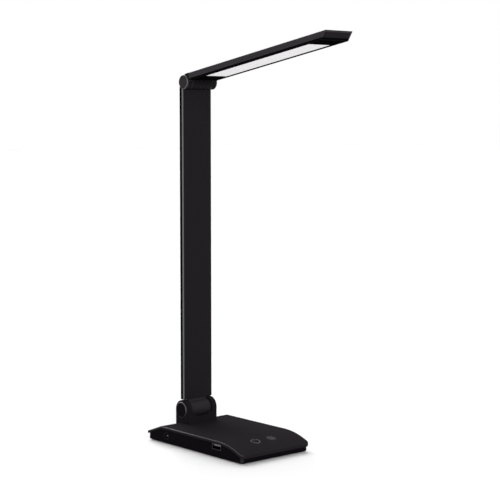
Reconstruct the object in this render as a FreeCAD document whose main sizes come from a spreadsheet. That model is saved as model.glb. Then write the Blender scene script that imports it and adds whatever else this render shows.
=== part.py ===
"""LED table lamp: a ballasted base, a post that tilts on it and a slim head that folds on the post.

Frame: millimetres, +Z up, -Y is the front, origin at the centre of the base's underside.
"""
import FreeCAD, Part
import math
import os

import Sketcher

Vector = FreeCAD.Vector

# Driving dimensions: name, millimetres or degrees, and what it measures.
DIMENSIONS = [
    ("pad_thickness", 0.6, "anti-slip pad under the base"),
    ("pad_inset", 4.0, "pad edge inside the tray's outline"),
    ("base_length", 150.0, "front edge to rear lip of the cover"),
    ("base_width", 89.6, "width of the cover"),
    ("cover_top", 17.3, "height of the cover's flat top"),
    ("cover_thickness", 2.6, "wall of the cover"),
    ("cover_corner", 5.0, "plan radius of the cover's front corners"),
    ("cover_rear_corner", 1.4, "plan radius of the cover's rear corners"),
    ("lip_tip", 1.2, "height of the bevelled rear lip at its end"),
    ("cover_edge", 0.9, "rounding of the cover's upper edge"),
    ("slope_run", 22.4, "length of the rear slope"),
    ("slope_drop", 8.2, "fall of the rear slope"),
    ("front_run", 37.5, "length of the curved front drop"),
    ("front_radius", 84.0, "radius of the curved front drop"),
    ("overhang", 1.6, "cover past the tray at the sides and front"),
    ("rear_overhang", 1.3, "cover past the tray at the rear"),
    ("tray_wall", 2.0, "side walls of the tray"),
    ("tray_floor", 2.2, "floor of the tray"),
    ("tray_corner", 3.6, "plan radius of the tray's front corners"),
    ("tray_rear_corner", 1.4, "plan radius of the tray's rear corners"),
    ("tray_edge", 1.2, "rounding of the tray's bottom edge"),
    ("corner_boss_inset", 9.8, "cover screw bosses, from the sides of the cover"),
    ("corner_boss_margin", 14.0, "cover screw bosses, from the front and rear edges"),
    ("corner_boss_radius", 3.2, "cover screw bosses"),
    ("tapping_radius", 1.5, "thread radius of the cover and yoke screws"),
    ("tapping_head_radius", 2.7, "head radius of the cover and yoke screws"),
    ("tapping_head", 1.5, "head height of the cover and yoke screws"),
    ("tapping_bite", 4.0, "thread length inside a boss"),
    ("ballast_side", 4.2, "steel plate inside the tray's side walls"),
    ("ballast_front", 25.0, "steel plate, from the front edge"),
    ("ballast_rear", 43.0, "steel plate, from the rear lip"),
    ("ballast_thickness", 3.6, "steel plate in the base"),
    ("board_length", 42.0, "control board, along the base"),
    ("board_width", 50.0, "control board, across the base"),
    ("board_thickness", 1.2, "control board"),
    ("board_lift", 0.6, "gap between ballast and control board"),
    ("board_inset", 3.6, "screws from the edges of the control board"),
    ("board_boss_radius", 2.6, "bosses under the control board"),
    ("board_screw_radius", 0.9, "thread radius of the board screws"),
    ("board_screw_head", 1.9, "head radius of the board screws"),
    ("board_screw_cap", 1.2, "head height of the board screws"),
    ("board_screw_bite", 3.0, "thread length of the board screws"),
    ("usb_place", 39.8, "socket, from the front edge"),
    ("usb_wide", 13.2, "outside of the socket shell"),
    ("usb_tall", 5.7, "outside of the socket shell"),
    ("usb_deep", 14.0, "depth of the socket shell"),
    ("usb_sheet", 0.32, "sheet of the socket shell"),
    ("usb_recess", 1.4, "tongue behind the socket's mouth"),
    ("tongue_wide", 11.1, "contact tongue"),
    ("tongue_tall", 1.85, "contact tongue"),
    ("inlet_setback", 30.7, "DC inlet, from the rear lip"),
    ("inlet_height", 8.5, "middle of the DC inlet above the table"),
    ("inlet_radius", 4.2, "outside of the DC inlet"),
    ("inlet_bore", 2.85, "bore of the DC inlet"),
    ("inlet_deep", 13.0, "length of the DC inlet"),
    ("inlet_bottom", 1.6, "closed end of the DC inlet"),
    ("inlet_pin_radius", 1.0, "contact pin of the DC inlet"),
    ("inlet_pin_recess", 1.0, "pin behind the inlet's mouth"),
    ("touch_spacing", 20.6, "between the two touch marks"),
    ("touch_setback", 19.7, "touch marks, from the front edge"),
    ("touch_radius", 6.0, "electrode under a touch mark"),
    ("touch_thickness", 0.5, "electrode under a touch mark"),
    ("hinge_setback", 25.2, "lower hinge axis, from the rear lip"),
    ("hinge_height", 31.2, "lower hinge axis above the table"),
    ("yoke_width", 39.0, "outside of the yoke's ears"),
    ("yoke_radius", 10.1, "rounded top of the yoke's ears"),
    ("ear_thickness", 6.3, "each ear of the yoke"),
    ("ear_edge", 1.1, "rounding of the ears' outer edges"),
    ("cradle_drop", 3.7, "yoke wall top below the hinge axis"),
    ("slot_width", 16.0, "slot in the yoke's front wall"),
    ("slot_drop", 6.9, "slot bottom below the hinge axis"),
    ("lead_hole_radius", 2.4, "lead hole through cover and yoke"),
    ("yoke_screw_x", 9.5, "yoke screws, from the middle"),
    ("yoke_screw_ahead", 3.0, "yoke screws, ahead of the hinge axis"),
    ("yoke_screw_bite", 3.6, "thread length of the yoke screws in the yoke"),
    ("running_gap", 0.3, "between surfaces that pass each other"),
    ("shaft_gap", 0.05, "radial play of a shaft in its bore"),
    ("face_gap", 0.15, "side play of a knuckle between its ears"),
    ("seat_gap", 0.1, "play of an inserted piece in its seat"),
    ("washer_thickness", 0.6, "friction washers of both hinges"),
    ("barrel_radius", 8.6, "lower knuckle"),
    ("shaft_radius", 3.0, "lower hinge shaft"),
    ("shaft_head_radius", 5.0, "head of the lower hinge shaft"),
    ("shaft_head", 1.5, "head of the lower hinge shaft"),
    ("washer_radius", 7.6, "friction washers of the lower hinge"),
    ("pocket_radius", 8.3, "pockets in the outer faces of the ears"),
    ("pocket_depth", 3.8, "pockets in the outer faces of the ears"),
    ("spring_thickness", 0.8, "disc spring under the nut"),
    ("spring_radius", 5.6, "disc spring under the nut"),
    ("nut_flats", 8.0, "nut on the lower hinge shaft, across flats"),
    ("nut_thickness", 1.6, "nut on the lower hinge shaft"),
    ("lower_cap_thickness", 1.7, "caps of the lower hinge"),
    ("lower_cap_proud", 0.7, "caps past the ears"),
    ("cap_bevel", 0.6, "bevel round the hinge caps"),
    ("neck_width", 24.0, "neck of the lower knuckle"),
    ("upper_neck_width", 22.0, "neck of the upper knuckle"),
    ("post_width", 38.2, "post, across"),
    ("post_depth", 5.9, "post, front to rear"),
    ("post_chamfer", 1.25, "chamfered edges of the post"),
    ("post_wall", 1.2, "wall of the post"),
    ("post_bottom", 42.2, "lower end of the post above the table"),
    ("post_length", 317.45, "length of the post at its front"),
    ("tongue_length", 24.0, "knuckle tongues inside the post"),
    ("tongue_screw_x", 10.5, "post screws, from the middle"),
    ("tongue_screw_depth", 12.0, "post screws, from the ends of the post"),
    ("post_screw_radius", 1.2, "thread radius of the post screws"),
    ("post_screw_head", 2.2, "head radius of the post screws"),
    ("post_screw_cap", 0.9, "head height of the post screws"),
    ("post_screw_bite", 2.2, "thread length of the post screws in a tongue"),
    ("lead_wide", 3.4, "twin lead inside the post"),
    ("lead_thick", 1.7, "twin lead inside the post"),
    ("lead_end", 4.0, "ends of the lead inside the ends of the post"),
    ("upper_radius", 7.2, "upper hinge caps"),
    ("upper_barrel_radius", 7.0, "upper knuckle and ears"),
    ("upper_ahead", 4.5, "upper hinge axis ahead of the post's middle"),
    ("upper_length", 39.2, "upper hinge, over its caps"),
    ("post_top_drop", 7.15, "post's front top edge below the upper hinge axis"),
    ("post_rise", 2.4, "post's rear top edge above its front one, behind the upper hinge"),
    ("upper_knuckle_length", 24.0, "upper knuckle"),
    ("upper_shaft_radius", 2.5, "upper hinge shaft"),
    ("upper_washer_radius", 6.2, "friction washers of the upper hinge"),
    ("upper_socket", 0.8, "shaft ends inside the upper caps"),
    ("head_tilt", 9.46, "head above the horizontal, degrees"),
    ("head_width", 35.3, "head, across"),
    ("head_height", 7.7, "head, top to underside"),
    ("head_length", 207.6, "hinge axis to the head's upper front edge"),
    ("head_undercut", 7.0, "front end, from upper to lower edge"),
    ("head_lift", 0.35, "underside of the head above the hinge axis"),
    ("head_lead_in", 3.0, "slope from the bracket's ears up to the head's top"),
    ("head_start", 8.0, "hinge axis to the housing's rear end"),
    ("head_wall", 1.2, "side walls of the housing"),
    ("head_roof", 1.4, "top wall of the housing"),
    ("head_chamfer", 0.5, "upper long edges of the housing"),
    ("frame_thickness", 2.0, "lower frame of the head"),
    ("end_cap_thickness", 1.6, "end cap of the head"),
    ("bracket_length", 17.0, "bracket tongue inside the housing"),
    ("bracket_screw_x", 9.0, "bracket screws, from the middle"),
    ("bracket_screw_radius", 1.1, "thread radius of the bracket screws"),
    ("bracket_screw_head", 2.0, "head radius of the bracket screws"),
    ("bracket_screw_cap", 0.9, "head height of the bracket screws"),
    ("bracket_screw_bite", 0.9, "thread length in the housing's roof"),
    ("lens_start", 28.6, "hinge axis to the lit window"),
    ("lens_end", 19.0, "lit window to the head's lower front edge"),
    ("lens_border", 3.5, "lit window, from the sides of the head"),
    ("lens_lip", 0.7, "flange of the diffuser over the frame"),
    ("lens_flange", 0.6, "thickness of the diffuser's flange"),
    ("lens_recess", 0.5, "diffuser behind the frame's face"),
    ("guide_thickness", 1.8, "light guide"),
    ("reflector_thickness", 0.3, "reflector sheet"),
    ("led_board_thickness", 0.8, "LED boards"),
    ("led_long", 3.5, "LED, along the board"),
    ("led_tall", 1.4, "LED, across the board"),
    ("led_thick", 0.6, "LED, off the board"),
    ("led_end", 4.45, "first and last LED, from the ends of the lit window"),
]
LEDS_PER_BOARD = 20


class Size:
    """A dimension as a number and as the sheet expression that gives it."""

    def __init__(self, value, text):
        self.value = value
        self.text = text

    def __add__(self, other):
        other = as_size(other)
        return Size(self.value + other.value, f"({self.text} + {other.text})")

    def __sub__(self, other):
        other = as_size(other)
        return Size(self.value - other.value, f"({self.text} - {other.text})")

    def __mul__(self, other):
        other = as_size(other)
        return Size(self.value * other.value, f"({self.text} * {other.text})")

    def __truediv__(self, other):
        other = as_size(other)
        return Size(self.value / other.value, f"({self.text} / {other.text})")

    def __radd__(self, other):
        return as_size(other) + self

    def __rsub__(self, other):
        return as_size(other) - self

    def __rmul__(self, other):
        return as_size(other) * self

    def __neg__(self):
        return Size(-self.value, f"(0 - {self.text})")


def as_size(number):
    """Return a Size for a plain number, or the Size itself."""
    if isinstance(number, Size):
        return number
    return Size(float(number), repr(float(number)))


def root(size):
    """Return the square root of a Size."""
    return Size(math.sqrt(size.value), f"sqrt({size.text})")


class Dimensions:
    """The sheet's cells, each as an attribute that holds a Size."""

    def __init__(self, sheet, rows):
        for row, (name, value, note) in enumerate(rows, start=1):
            sheet.set(f"A{row}", name)
            sheet.set(f"B{row}", str(value))
            sheet.set(f"C{row}", note)
            sheet.setAlias(f"B{row}", name)
            setattr(self, name, Size(value, f"Sheet.{name}"))


doc = FreeCAD.newDocument("table_lamp")
sheet = doc.addObject("Spreadsheet::Sheet", "Sheet")
d = Dimensions(sheet, DIMENSIONS)
doc.recompute()
nodes = []


def bind(obj, name, size):
    """Set a property from a Size, through the sheet."""
    obj.setExpression(name, as_size(size).text)


def place(obj, x=0, y=0, z=0, rotation=None):
    """Bind an object's place; a rotation is fixed."""
    if rotation is not None:
        obj.Placement = FreeCAD.Placement(Vector(), rotation)
    for axis, size in zip("xyz", (x, y, z)):
        bind(obj, f"Placement.Base.{axis}", size)


def finish(obj, label):
    """Name an object as a sub-part."""
    obj.Label = label
    nodes.append(obj)
    return obj


# Sketches and part design features.
def new_body(label):
    """Start a part design body for a sub-part."""
    body = doc.addObject("PartDesign::Body", f"{label}_body")
    return finish(body, label)


def new_sketch(body, plane, offset=None):
    """Start a sketch on one of the body's own planes, moved along its normal."""
    sketch = body.newObject("Sketcher::SketchObject", f"{body.Label}_sketch")
    support = [item for item in body.Origin.OriginFeatures if item.Role == plane][0]
    sketch.AttachmentSupport = [(support, "")]
    sketch.MapMode = "FlatFace"
    if offset is not None:
        bind(sketch, "AttachmentOffset.Base.z", offset)
    return sketch


def constrain(sketch, kind, geometry, point, size):
    """Tie one coordinate of a sketch point to a Size."""
    index = sketch.addConstraint(Sketcher.Constraint(kind, -1, 1, geometry, point, size.value))
    bind(sketch, f"Constraints[{index}]", size)


def arc_middle(start, end, radius, left):
    """Return a point on the short arc from start to end; left is its side of the chord."""
    chord = end - start
    half = chord.Length / 2
    side = Vector(-chord.y, chord.x, 0).normalize() * (1 if left else -1)
    rise = radius - math.sqrt(max(radius * radius - half * half, 0.0))
    return start + chord * 0.5 + side * rise


def outline(sketch, points, arcs=None):
    """Draw a closed outline through points, with arcs {index: (radius, left of the chord)}."""
    arcs = arcs or {}
    corners = [tuple(as_size(value) for value in point) for point in points]
    spots = [Vector(x.value, y.value, 0) for x, y in corners]
    ends = []
    for index, spot in enumerate(spots):
        after = spots[(index + 1) % len(spots)]
        if index not in arcs:
            ends.append((sketch.addGeometry(Part.LineSegment(spot, after), False), 1, 2))
            continue
        radius, left = arcs[index]
        radius = as_size(radius)
        middle = arc_middle(spot, after, radius.value, left)
        first, last = (after, spot) if left else (spot, after)
        edge = sketch.addGeometry(Part.Arc(first, middle, last), False)
        ends.append((edge, 2, 1) if left else (edge, 1, 2))
        tie = sketch.addConstraint(Sketcher.Constraint("Radius", edge, radius.value))
        bind(sketch, f"Constraints[{tie}]", radius)
    for index, (edge, start, end) in enumerate(ends):
        following, first, _ = ends[(index + 1) % len(ends)]
        sketch.addConstraint(Sketcher.Constraint("Coincident", edge, end, following, first))
        constrain(sketch, "DistanceX", edge, start, corners[index][0])
        constrain(sketch, "DistanceY", edge, start, corners[index][1])


def rectangle(sketch, low, high):
    """Draw a rectangle between two corners."""
    outline(sketch, [low, (high[0], low[1]), high, (low[0], high[1])])


def rounded_rectangle(sketch, low, high, front_corner, rear_corner):
    """Draw a rectangle with one radius on its front corners and another on its rear corners."""
    (left, front), (right, rear) = low, high
    points = [
        (left + front_corner, front), (right - front_corner, front),
        (right, front + front_corner), (right, rear - rear_corner),
        (right - rear_corner, rear), (left + rear_corner, rear),
        (left, rear - rear_corner), (left, front + front_corner),
    ]
    radii = {1: front_corner, 3: rear_corner, 5: rear_corner, 7: front_corner}
    outline(sketch, points, {index: (radius, False) for index, radius in radii.items()})


def circle(sketch, x, y, radius):
    """Draw a circle."""
    x, y, radius = (as_size(value) for value in (x, y, radius))
    ring = sketch.addGeometry(Part.Circle(Vector(x.value, y.value, 0), Vector(0, 0, 1), radius.value), False)
    constrain(sketch, "DistanceX", ring, 3, x)
    constrain(sketch, "DistanceY", ring, 3, y)
    tie = sketch.addConstraint(Sketcher.Constraint("Radius", ring, radius.value))
    bind(sketch, f"Constraints[{tie}]", radius)


def pad(body, sketch, length, both_ways=False, reverse=False):
    """Add the sketch's area along its normal."""
    feature = body.newObject("PartDesign::Pad", f"{body.Label}_pad")
    feature.Profile = sketch
    feature.SideType = "Symmetric" if both_ways else "One side"
    feature.Reversed = reverse
    bind(feature, "Length", length)
    doc.recompute()
    return feature


def pocket(body, sketch, length, both_ways=False, reverse=False):
    """Cut the sketch's area against its normal, or along it, and check that it cuts."""
    before = body.Shape.Volume
    feature = body.newObject("PartDesign::Pocket", f"{body.Label}_pocket")
    feature.Profile = sketch
    feature.SideType = "Symmetric" if both_ways else "One side"
    feature.Reversed = reverse
    bind(feature, "Length", length)
    doc.recompute()
    if body.Shape.Volume > before - 1e-3:
        raise RuntimeError(f"{feature.Label} cuts nothing")
    return feature


def round_edges(body, wanted, radius):
    """Fillet the edges of the body's tip that the test accepts."""
    tip = body.Tip
    names = [f"Edge{i}" for i, edge in enumerate(tip.Shape.Edges, start=1) if wanted(edge)]
    feature = body.newObject("PartDesign::Fillet", f"{body.Label}_fillet")
    feature.Base = (tip, names)
    bind(feature, "Radius", radius)
    doc.recompute()
    return feature


def turned(label, points, mirrored=False, x=0, y=0, z=0):
    """Revolve an outline of (distance along X, radius) round the X axis; a mirrored copy may join it."""
    body = new_body(label)
    for side in (1, -1) if mirrored else (1,):
        sketch = new_sketch(body, "XY_Plane")
        outline(sketch, [(along * side, radius) for along, radius in points])
        feature = body.newObject("PartDesign::Revolution", f"{label}_turn")
        feature.Profile = sketch
        feature.ReferenceAxis = (sketch, ["H_Axis"])
        feature.Angle = 360.0
        doc.recompute()
    place(body, x, y, z)
    return body


# Part primitives and booleans.
ALONG_X = FreeCAD.Rotation(Vector(0, 1, 0), 90)
ALONG_Y = FreeCAD.Rotation(Vector(1, 0, 0), -90)


def box(name, low, high):
    """Make a box between two corners."""
    solid = doc.addObject("Part::Box", name)
    for side, start, end in zip(("Length", "Width", "Height"), low, high):
        bind(solid, side, as_size(end) - start)
    place(solid, *low)
    return solid


def rod(name, radius, length, x=0, y=0, z=0, rotation=None):
    """Make a cylinder that starts at a point, upright unless turned."""
    solid = doc.addObject("Part::Cylinder", name)
    bind(solid, "Radius", radius)
    bind(solid, "Height", length)
    place(solid, x, y, z, rotation)
    return solid


def joined(name, solids):
    """Fuse solids into one."""
    fuse = doc.addObject("Part::MultiFuse", name)
    fuse.Shapes = solids
    fuse.Refine = True
    return fuse


def grouped(name, solids):
    """Hold separate solids in one object."""
    group = doc.addObject("Part::Compound", name)
    group.Links = solids
    return group


def less(name, solid, tools):
    """Cut tools out of a solid."""
    cut = doc.addObject("Part::Cut", name)
    cut.Base = solid
    cut.Tool = tools[0] if len(tools) == 1 else grouped(f"{name}_tools", tools)
    return cut


def screw(name, x, y, z, thread_radius, thread_length, head_radius, head_height):
    """Make an upright screw with its head downwards; z is the face under which the head sits."""
    thread = rod(f"{name}_thread", thread_radius, thread_length + head_height, x, y, z - head_height)
    head = rod(f"{name}_head", head_radius, head_height, x, y, z - head_height)
    return joined(name, [thread, head])


# Places worked out from the driving dimensions.
half_length = d.base_length / 2
half_width = d.base_width / 2
hinge_y = half_length - d.hinge_setback
crease_y = half_length - d.slope_run
arc_y = d.front_run - half_length
slope = d.slope_drop / d.slope_run
slope_secant = root(1 + slope * slope)
cover_under = d.cover_top - d.cover_thickness
arc_centre_z = d.cover_top - d.front_radius
tray_front = -half_length + d.overhang
tray_rear = half_length - d.rear_overhang
tray_half = half_width - d.overhang
floor_top = d.pad_thickness + d.tray_floor
ballast_top = floor_top + d.ballast_thickness
board_bottom = ballast_top + d.board_lift
board_top = board_bottom + d.board_thickness
usb_z = board_top + d.usb_tall / 2
wall_inside = tray_half - d.tray_wall
above_all = d.cover_top + d.slope_drop


def front_height(radius, run):
    """Return the height of the curved front at a distance ahead of where the curve starts."""
    return arc_centre_z + root(radius * radius - run * run)


def slope_height(y):
    """Return the height of the cover's upper face on the rear slope."""
    return d.cover_top - (y - crease_y) * slope


def crease_below(depth):
    """Return where the rear slope starts on the surface that lies a depth below the cover's upper face."""
    return crease_y - depth * (slope_secant - 1) / slope


def space_above(depth):
    """Return the outline, with its arc, of all that is above a depth below the cover's upper face."""
    radius = d.front_radius - depth
    points = [
        (arc_y, d.cover_top - depth),
        (-half_length, front_height(radius, d.front_run)),
        (-half_length, above_all),
        (half_length, above_all),
        (half_length, slope_height(half_length) - depth * slope_secant),
        (crease_below(depth), d.cover_top - depth),
    ]
    return points, {0: (radius, False)}


boss_ys = (-half_length + d.corner_boss_margin, half_length - d.corner_boss_margin)
boss_x = half_width - d.corner_boss_inset
boss_spots = [(boss_x * side, y) for side in (-1, 1) for y in boss_ys]
usb_y = d.usb_place - half_length
board_front = usb_y - d.board_length / 2
board_left = -wall_inside + d.seat_gap
board_right = board_left + d.board_width
board_spots = [
    (x, y)
    for x in (board_left + d.board_inset + d.usb_deep, board_right - d.board_inset)
    for y in (board_front + d.board_inset, board_front + d.board_length - d.board_inset)
]


def base_pad():
    """Anti-slip pad that the lamp stands on."""
    body = new_body("base_pad")
    sketch = new_sketch(body, "XY_Plane")
    reach = tray_half - d.pad_inset
    low = (-reach, tray_front + d.pad_inset)
    high = (reach, tray_rear - d.pad_inset)
    rounded_rectangle(sketch, low, high, d.tray_corner, d.tray_rear_corner)
    pad(body, sketch, d.pad_thickness)


def base_tray():
    """Tray with side walls that follow the cover, bosses for the board and openings for the sockets."""
    body = new_body("base_tray")
    plan = new_sketch(body, "XY_Plane", d.pad_thickness)
    low = (-tray_half, tray_front)
    high = (tray_half, tray_rear)
    rounded_rectangle(plan, low, high, d.tray_corner, d.tray_rear_corner)
    pad(body, plan, d.cover_top)
    bottom = d.pad_thickness.value
    round_edges(body, lambda edge: abs(edge.BoundBox.ZMax - bottom) < 1e-4, d.tray_edge)
    roof = new_sketch(body, "YZ_Plane")
    outline(roof, *space_above(d.cover_thickness))
    pocket(body, roof, d.base_width, both_ways=True)
    inside = new_sketch(body, "XY_Plane", floor_top)
    low = (-wall_inside, tray_front + d.tray_wall)
    high = (wall_inside, tray_rear - d.tray_wall)
    rounded_rectangle(inside, low, high, d.tray_corner / 2, d.tray_rear_corner / 2)
    pocket(body, inside, d.cover_top, reverse=True)
    bosses = new_sketch(body, "XY_Plane", floor_top)
    for x, y in board_spots:
        circle(bosses, x, y, d.board_boss_radius)
    pad(body, bosses, board_bottom - floor_top)
    threads = new_sketch(body, "XY_Plane", board_bottom)
    for x, y in board_spots:
        circle(threads, x, y, d.board_screw_radius + d.shaft_gap)
    pocket(body, threads, d.board_screw_bite)
    holes = new_sketch(body, "XY_Plane", floor_top)
    for x, y in boss_spots:
        circle(holes, x, y, d.tapping_radius + d.seat_gap)
    pocket(body, holes, d.tray_floor)
    heads = new_sketch(body, "XY_Plane", d.pad_thickness)
    for x, y in boss_spots:
        circle(heads, x, y, d.tapping_head_radius + d.seat_gap)
    pocket(body, heads, d.tapping_head, reverse=True)
    ports = new_sketch(body, "YZ_Plane", -tray_half - d.overhang)
    mouth_wide = d.usb_wide / 2 + d.seat_gap
    mouth_tall = d.usb_tall / 2 + d.seat_gap
    low = (usb_y - mouth_wide, usb_z - mouth_tall)
    high = (usb_y + mouth_wide, usb_z + mouth_tall)
    rectangle(ports, low, high)
    circle(ports, half_length - d.inlet_setback, d.inlet_height, d.inlet_radius + d.seat_gap)
    pocket(body, ports, d.tray_wall + d.overhang * 2, reverse=True)


def base_cover():
    """Bent cover: flat top, rear slope, curved front drop, screw bosses underneath."""
    body = new_body("base_cover")
    bosses = new_sketch(body, "XY_Plane", floor_top)
    for x, y in boss_spots:
        circle(bosses, x, y, d.corner_boss_radius)
    pad(body, bosses, d.cover_top - floor_top)
    trim = new_sketch(body, "YZ_Plane")
    outline(trim, *space_above(d.cover_thickness / 2))
    pocket(body, trim, d.base_width, both_ways=True)
    side = new_sketch(body, "YZ_Plane")
    inner = d.front_radius - d.cover_thickness
    lip_under = slope_height(tray_rear) - d.cover_thickness * slope_secant
    points = [
        (arc_y, d.cover_top),
        (-half_length, front_height(d.front_radius, d.front_run)),
        (-half_length, front_height(inner, d.front_run)),
        (arc_y, cover_under),
        (crease_below(d.cover_thickness), cover_under),
        (tray_rear, lip_under),
        (half_length, slope_height(half_length) - d.lip_tip),
        (half_length, slope_height(half_length)),
        (crease_y, d.cover_top),
    ]
    outline(side, points, {0: (d.front_radius, False), 2: (inner, True)})
    pad(body, side, d.base_width, both_ways=True)
    plan = new_sketch(body, "XY_Plane", above_all)
    margin = d.cover_corner
    low = (-half_width, -half_length)
    high = (half_width, half_length)
    rounded_rectangle(plan, low, high, d.cover_corner, d.cover_rear_corner)
    rectangle(plan, (low[0] - margin, low[1] - margin), (high[0] + margin, high[1] + margin))
    pocket(body, plan, above_all)

    def upper_rim(edge):
        middle = edge.valueAt((edge.FirstParameter + edge.LastParameter) / 2)
        across = abs(abs(middle.x) - half_width.value) < 1e-3
        at_end = abs(abs(middle.y) - half_length.value) < 1e-3
        corner_x = abs(middle.x) > half_width.value - d.cover_corner.value
        corner_y = abs(middle.y) > half_length.value - d.cover_corner.value
        if middle.y < arc_y.value:
            top = front_height(d.front_radius, arc_y - middle.y).value
        elif middle.y > crease_y.value:
            top = slope_height(as_size(middle.y)).value
        else:
            top = d.cover_top.value
        level = abs(middle.z - top) < 0.05
        return level and (across or at_end or (corner_x and corner_y))

    round_edges(body, upper_rim, d.cover_edge)
    threads = new_sketch(body, "XY_Plane", floor_top)
    for x, y in boss_spots:
        circle(threads, x, y, d.tapping_radius + d.shaft_gap)
    pocket(body, threads, d.tapping_bite + d.seat_gap, reverse=True)
    openings = new_sketch(body, "XY_Plane", cover_under)
    circle(openings, 0, hinge_y - d.yoke_screw_ahead, d.lead_hole_radius)
    for side_sign in (-1, 1):
        x = d.yoke_screw_x * side_sign
        circle(openings, x, hinge_y - d.yoke_screw_ahead, d.tapping_radius + d.seat_gap)
    pocket(body, openings, d.cover_thickness, reverse=True)


def base_screws():
    """Screws from below that hold tray and cover together."""
    under_head = d.pad_thickness + d.tapping_head
    length = floor_top - under_head + d.tapping_bite
    solids = [
        screw(f"base_screw_{i}", x, y, under_head, d.tapping_radius, length,
              d.tapping_head_radius, d.tapping_head)
        for i, (x, y) in enumerate(boss_spots)
    ]
    finish(grouped("base_screw_set", solids), "base_screws")


def ballast_plate():
    """Steel plate that keeps the lamp standing, with holes for the board's bosses."""
    low_y = d.ballast_front - half_length
    high_y = half_length - d.ballast_rear
    half = wall_inside - d.ballast_side
    plate = box("ballast_block", (-half, low_y, floor_top), (half, high_y, ballast_top))
    hole = d.board_boss_radius + d.running_gap
    holes = [
        rod(f"ballast_hole_{i}", hole, d.ballast_thickness * 2, x, y, floor_top - d.ballast_thickness / 2)
        for i, (x, y) in enumerate(board_spots)
    ]
    finish(less("ballast_drilled", plate, holes), "ballast_plate")


def control_board():
    """Circuit board that drives the LEDs and carries the USB socket."""
    low = (board_left, board_front, board_bottom)
    high = (board_right, board_front + d.board_length, board_top)
    plate = box("board_blank", low, high)
    holes = [
        rod(f"board_hole_{i}", d.board_screw_radius + d.seat_gap, d.board_thickness * 2, x, y,
            board_bottom - d.board_thickness / 2)
        for i, (x, y) in enumerate(board_spots)
    ]
    finish(less("board_drilled", plate, holes), "control_board")


def board_screws():
    """Small screws that hold the control board on its bosses."""
    depth = d.board_screw_bite - d.seat_gap
    solids = []
    for i, (x, y) in enumerate(board_spots):
        length = depth + d.board_thickness
        thread = rod(f"board_thread_{i}", d.board_screw_radius, length, x, y, board_bottom - depth)
        head = rod(f"board_head_{i}", d.board_screw_head, d.board_screw_cap, x, y, board_top)
        solids.append(joined(f"board_screw_{i}", [thread, head]))
    finish(grouped("board_screw_set", solids), "board_screws")


def usb_socket():
    """USB-A socket in the left wall: a sheet shell and the tongue inside it."""
    mouth = -tray_half
    back = mouth + d.usb_deep
    low = (mouth, usb_y - d.usb_wide / 2, board_top)
    high = (back, usb_y + d.usb_wide / 2, board_top + d.usb_tall)
    outer = box("usb_outer", low, high)
    sheet_low = (mouth - d.usb_sheet, low[1] + d.usb_sheet, low[2] + d.usb_sheet)
    sheet_high = (back - d.usb_sheet, high[1] - d.usb_sheet, high[2] - d.usb_sheet)
    inner = box("usb_inner", sheet_low, sheet_high)
    finish(less("usb_folded", outer, [inner]), "usb_shell")
    tongue_top = sheet_high[2] - d.usb_sheet
    tongue_low = (mouth + d.usb_recess, usb_y - d.tongue_wide / 2, tongue_top - d.tongue_tall)
    tongue_high = (back - d.usb_sheet, usb_y + d.tongue_wide / 2, tongue_top)
    finish(box("usb_insert", tongue_low, tongue_high), "usb_tongue")


def dc_inlet():
    """Round DC inlet in the left wall, with its contact pin."""
    y = half_length - d.inlet_setback
    mouth = -tray_half
    shell = rod("inlet_body", d.inlet_radius, d.inlet_deep, mouth, y, d.inlet_height, ALONG_X)
    bore_length = d.inlet_deep - d.inlet_bottom
    bore = rod("inlet_hollow", d.inlet_bore, bore_length, mouth, y, d.inlet_height, ALONG_X)
    finish(less("inlet_bored", shell, [bore]), "dc_inlet")
    length = bore_length - d.inlet_pin_recess
    start = mouth + d.inlet_pin_recess
    pin = rod("inlet_contact", d.inlet_pin_radius, length, start, y, d.inlet_height, ALONG_X)
    finish(pin, "dc_inlet_pin")


def touch_electrodes():
    """Two sensing discs that follow the underside of the curved front."""
    y = d.touch_setback - half_length
    outer = d.front_radius - d.cover_thickness - d.shaft_gap
    inner = outer - d.touch_thickness
    front = y - d.touch_radius
    rear = y + d.touch_radius
    body = new_body("touch_electrodes")
    band = new_sketch(body, "YZ_Plane")
    points = [
        (rear, front_height(outer, arc_y - rear)),
        (front, front_height(outer, arc_y - front)),
        (front, front_height(inner, arc_y - front)),
        (rear, front_height(inner, arc_y - rear)),
    ]
    outline(band, points, {0: (outer, False), 2: (inner, True)})
    reach = d.touch_spacing / 2 + d.touch_radius
    pad(body, band, reach * 2, both_ways=True)
    trim = new_sketch(body, "XY_Plane", d.cover_top)
    edge = reach + d.touch_radius
    rectangle(trim, (-edge, front - d.touch_radius), (edge, rear + d.touch_radius))
    for side in (-1, 1):
        circle(trim, d.touch_spacing / 2 * side, y, d.touch_radius)
    pocket(body, trim, d.cover_top)


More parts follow.
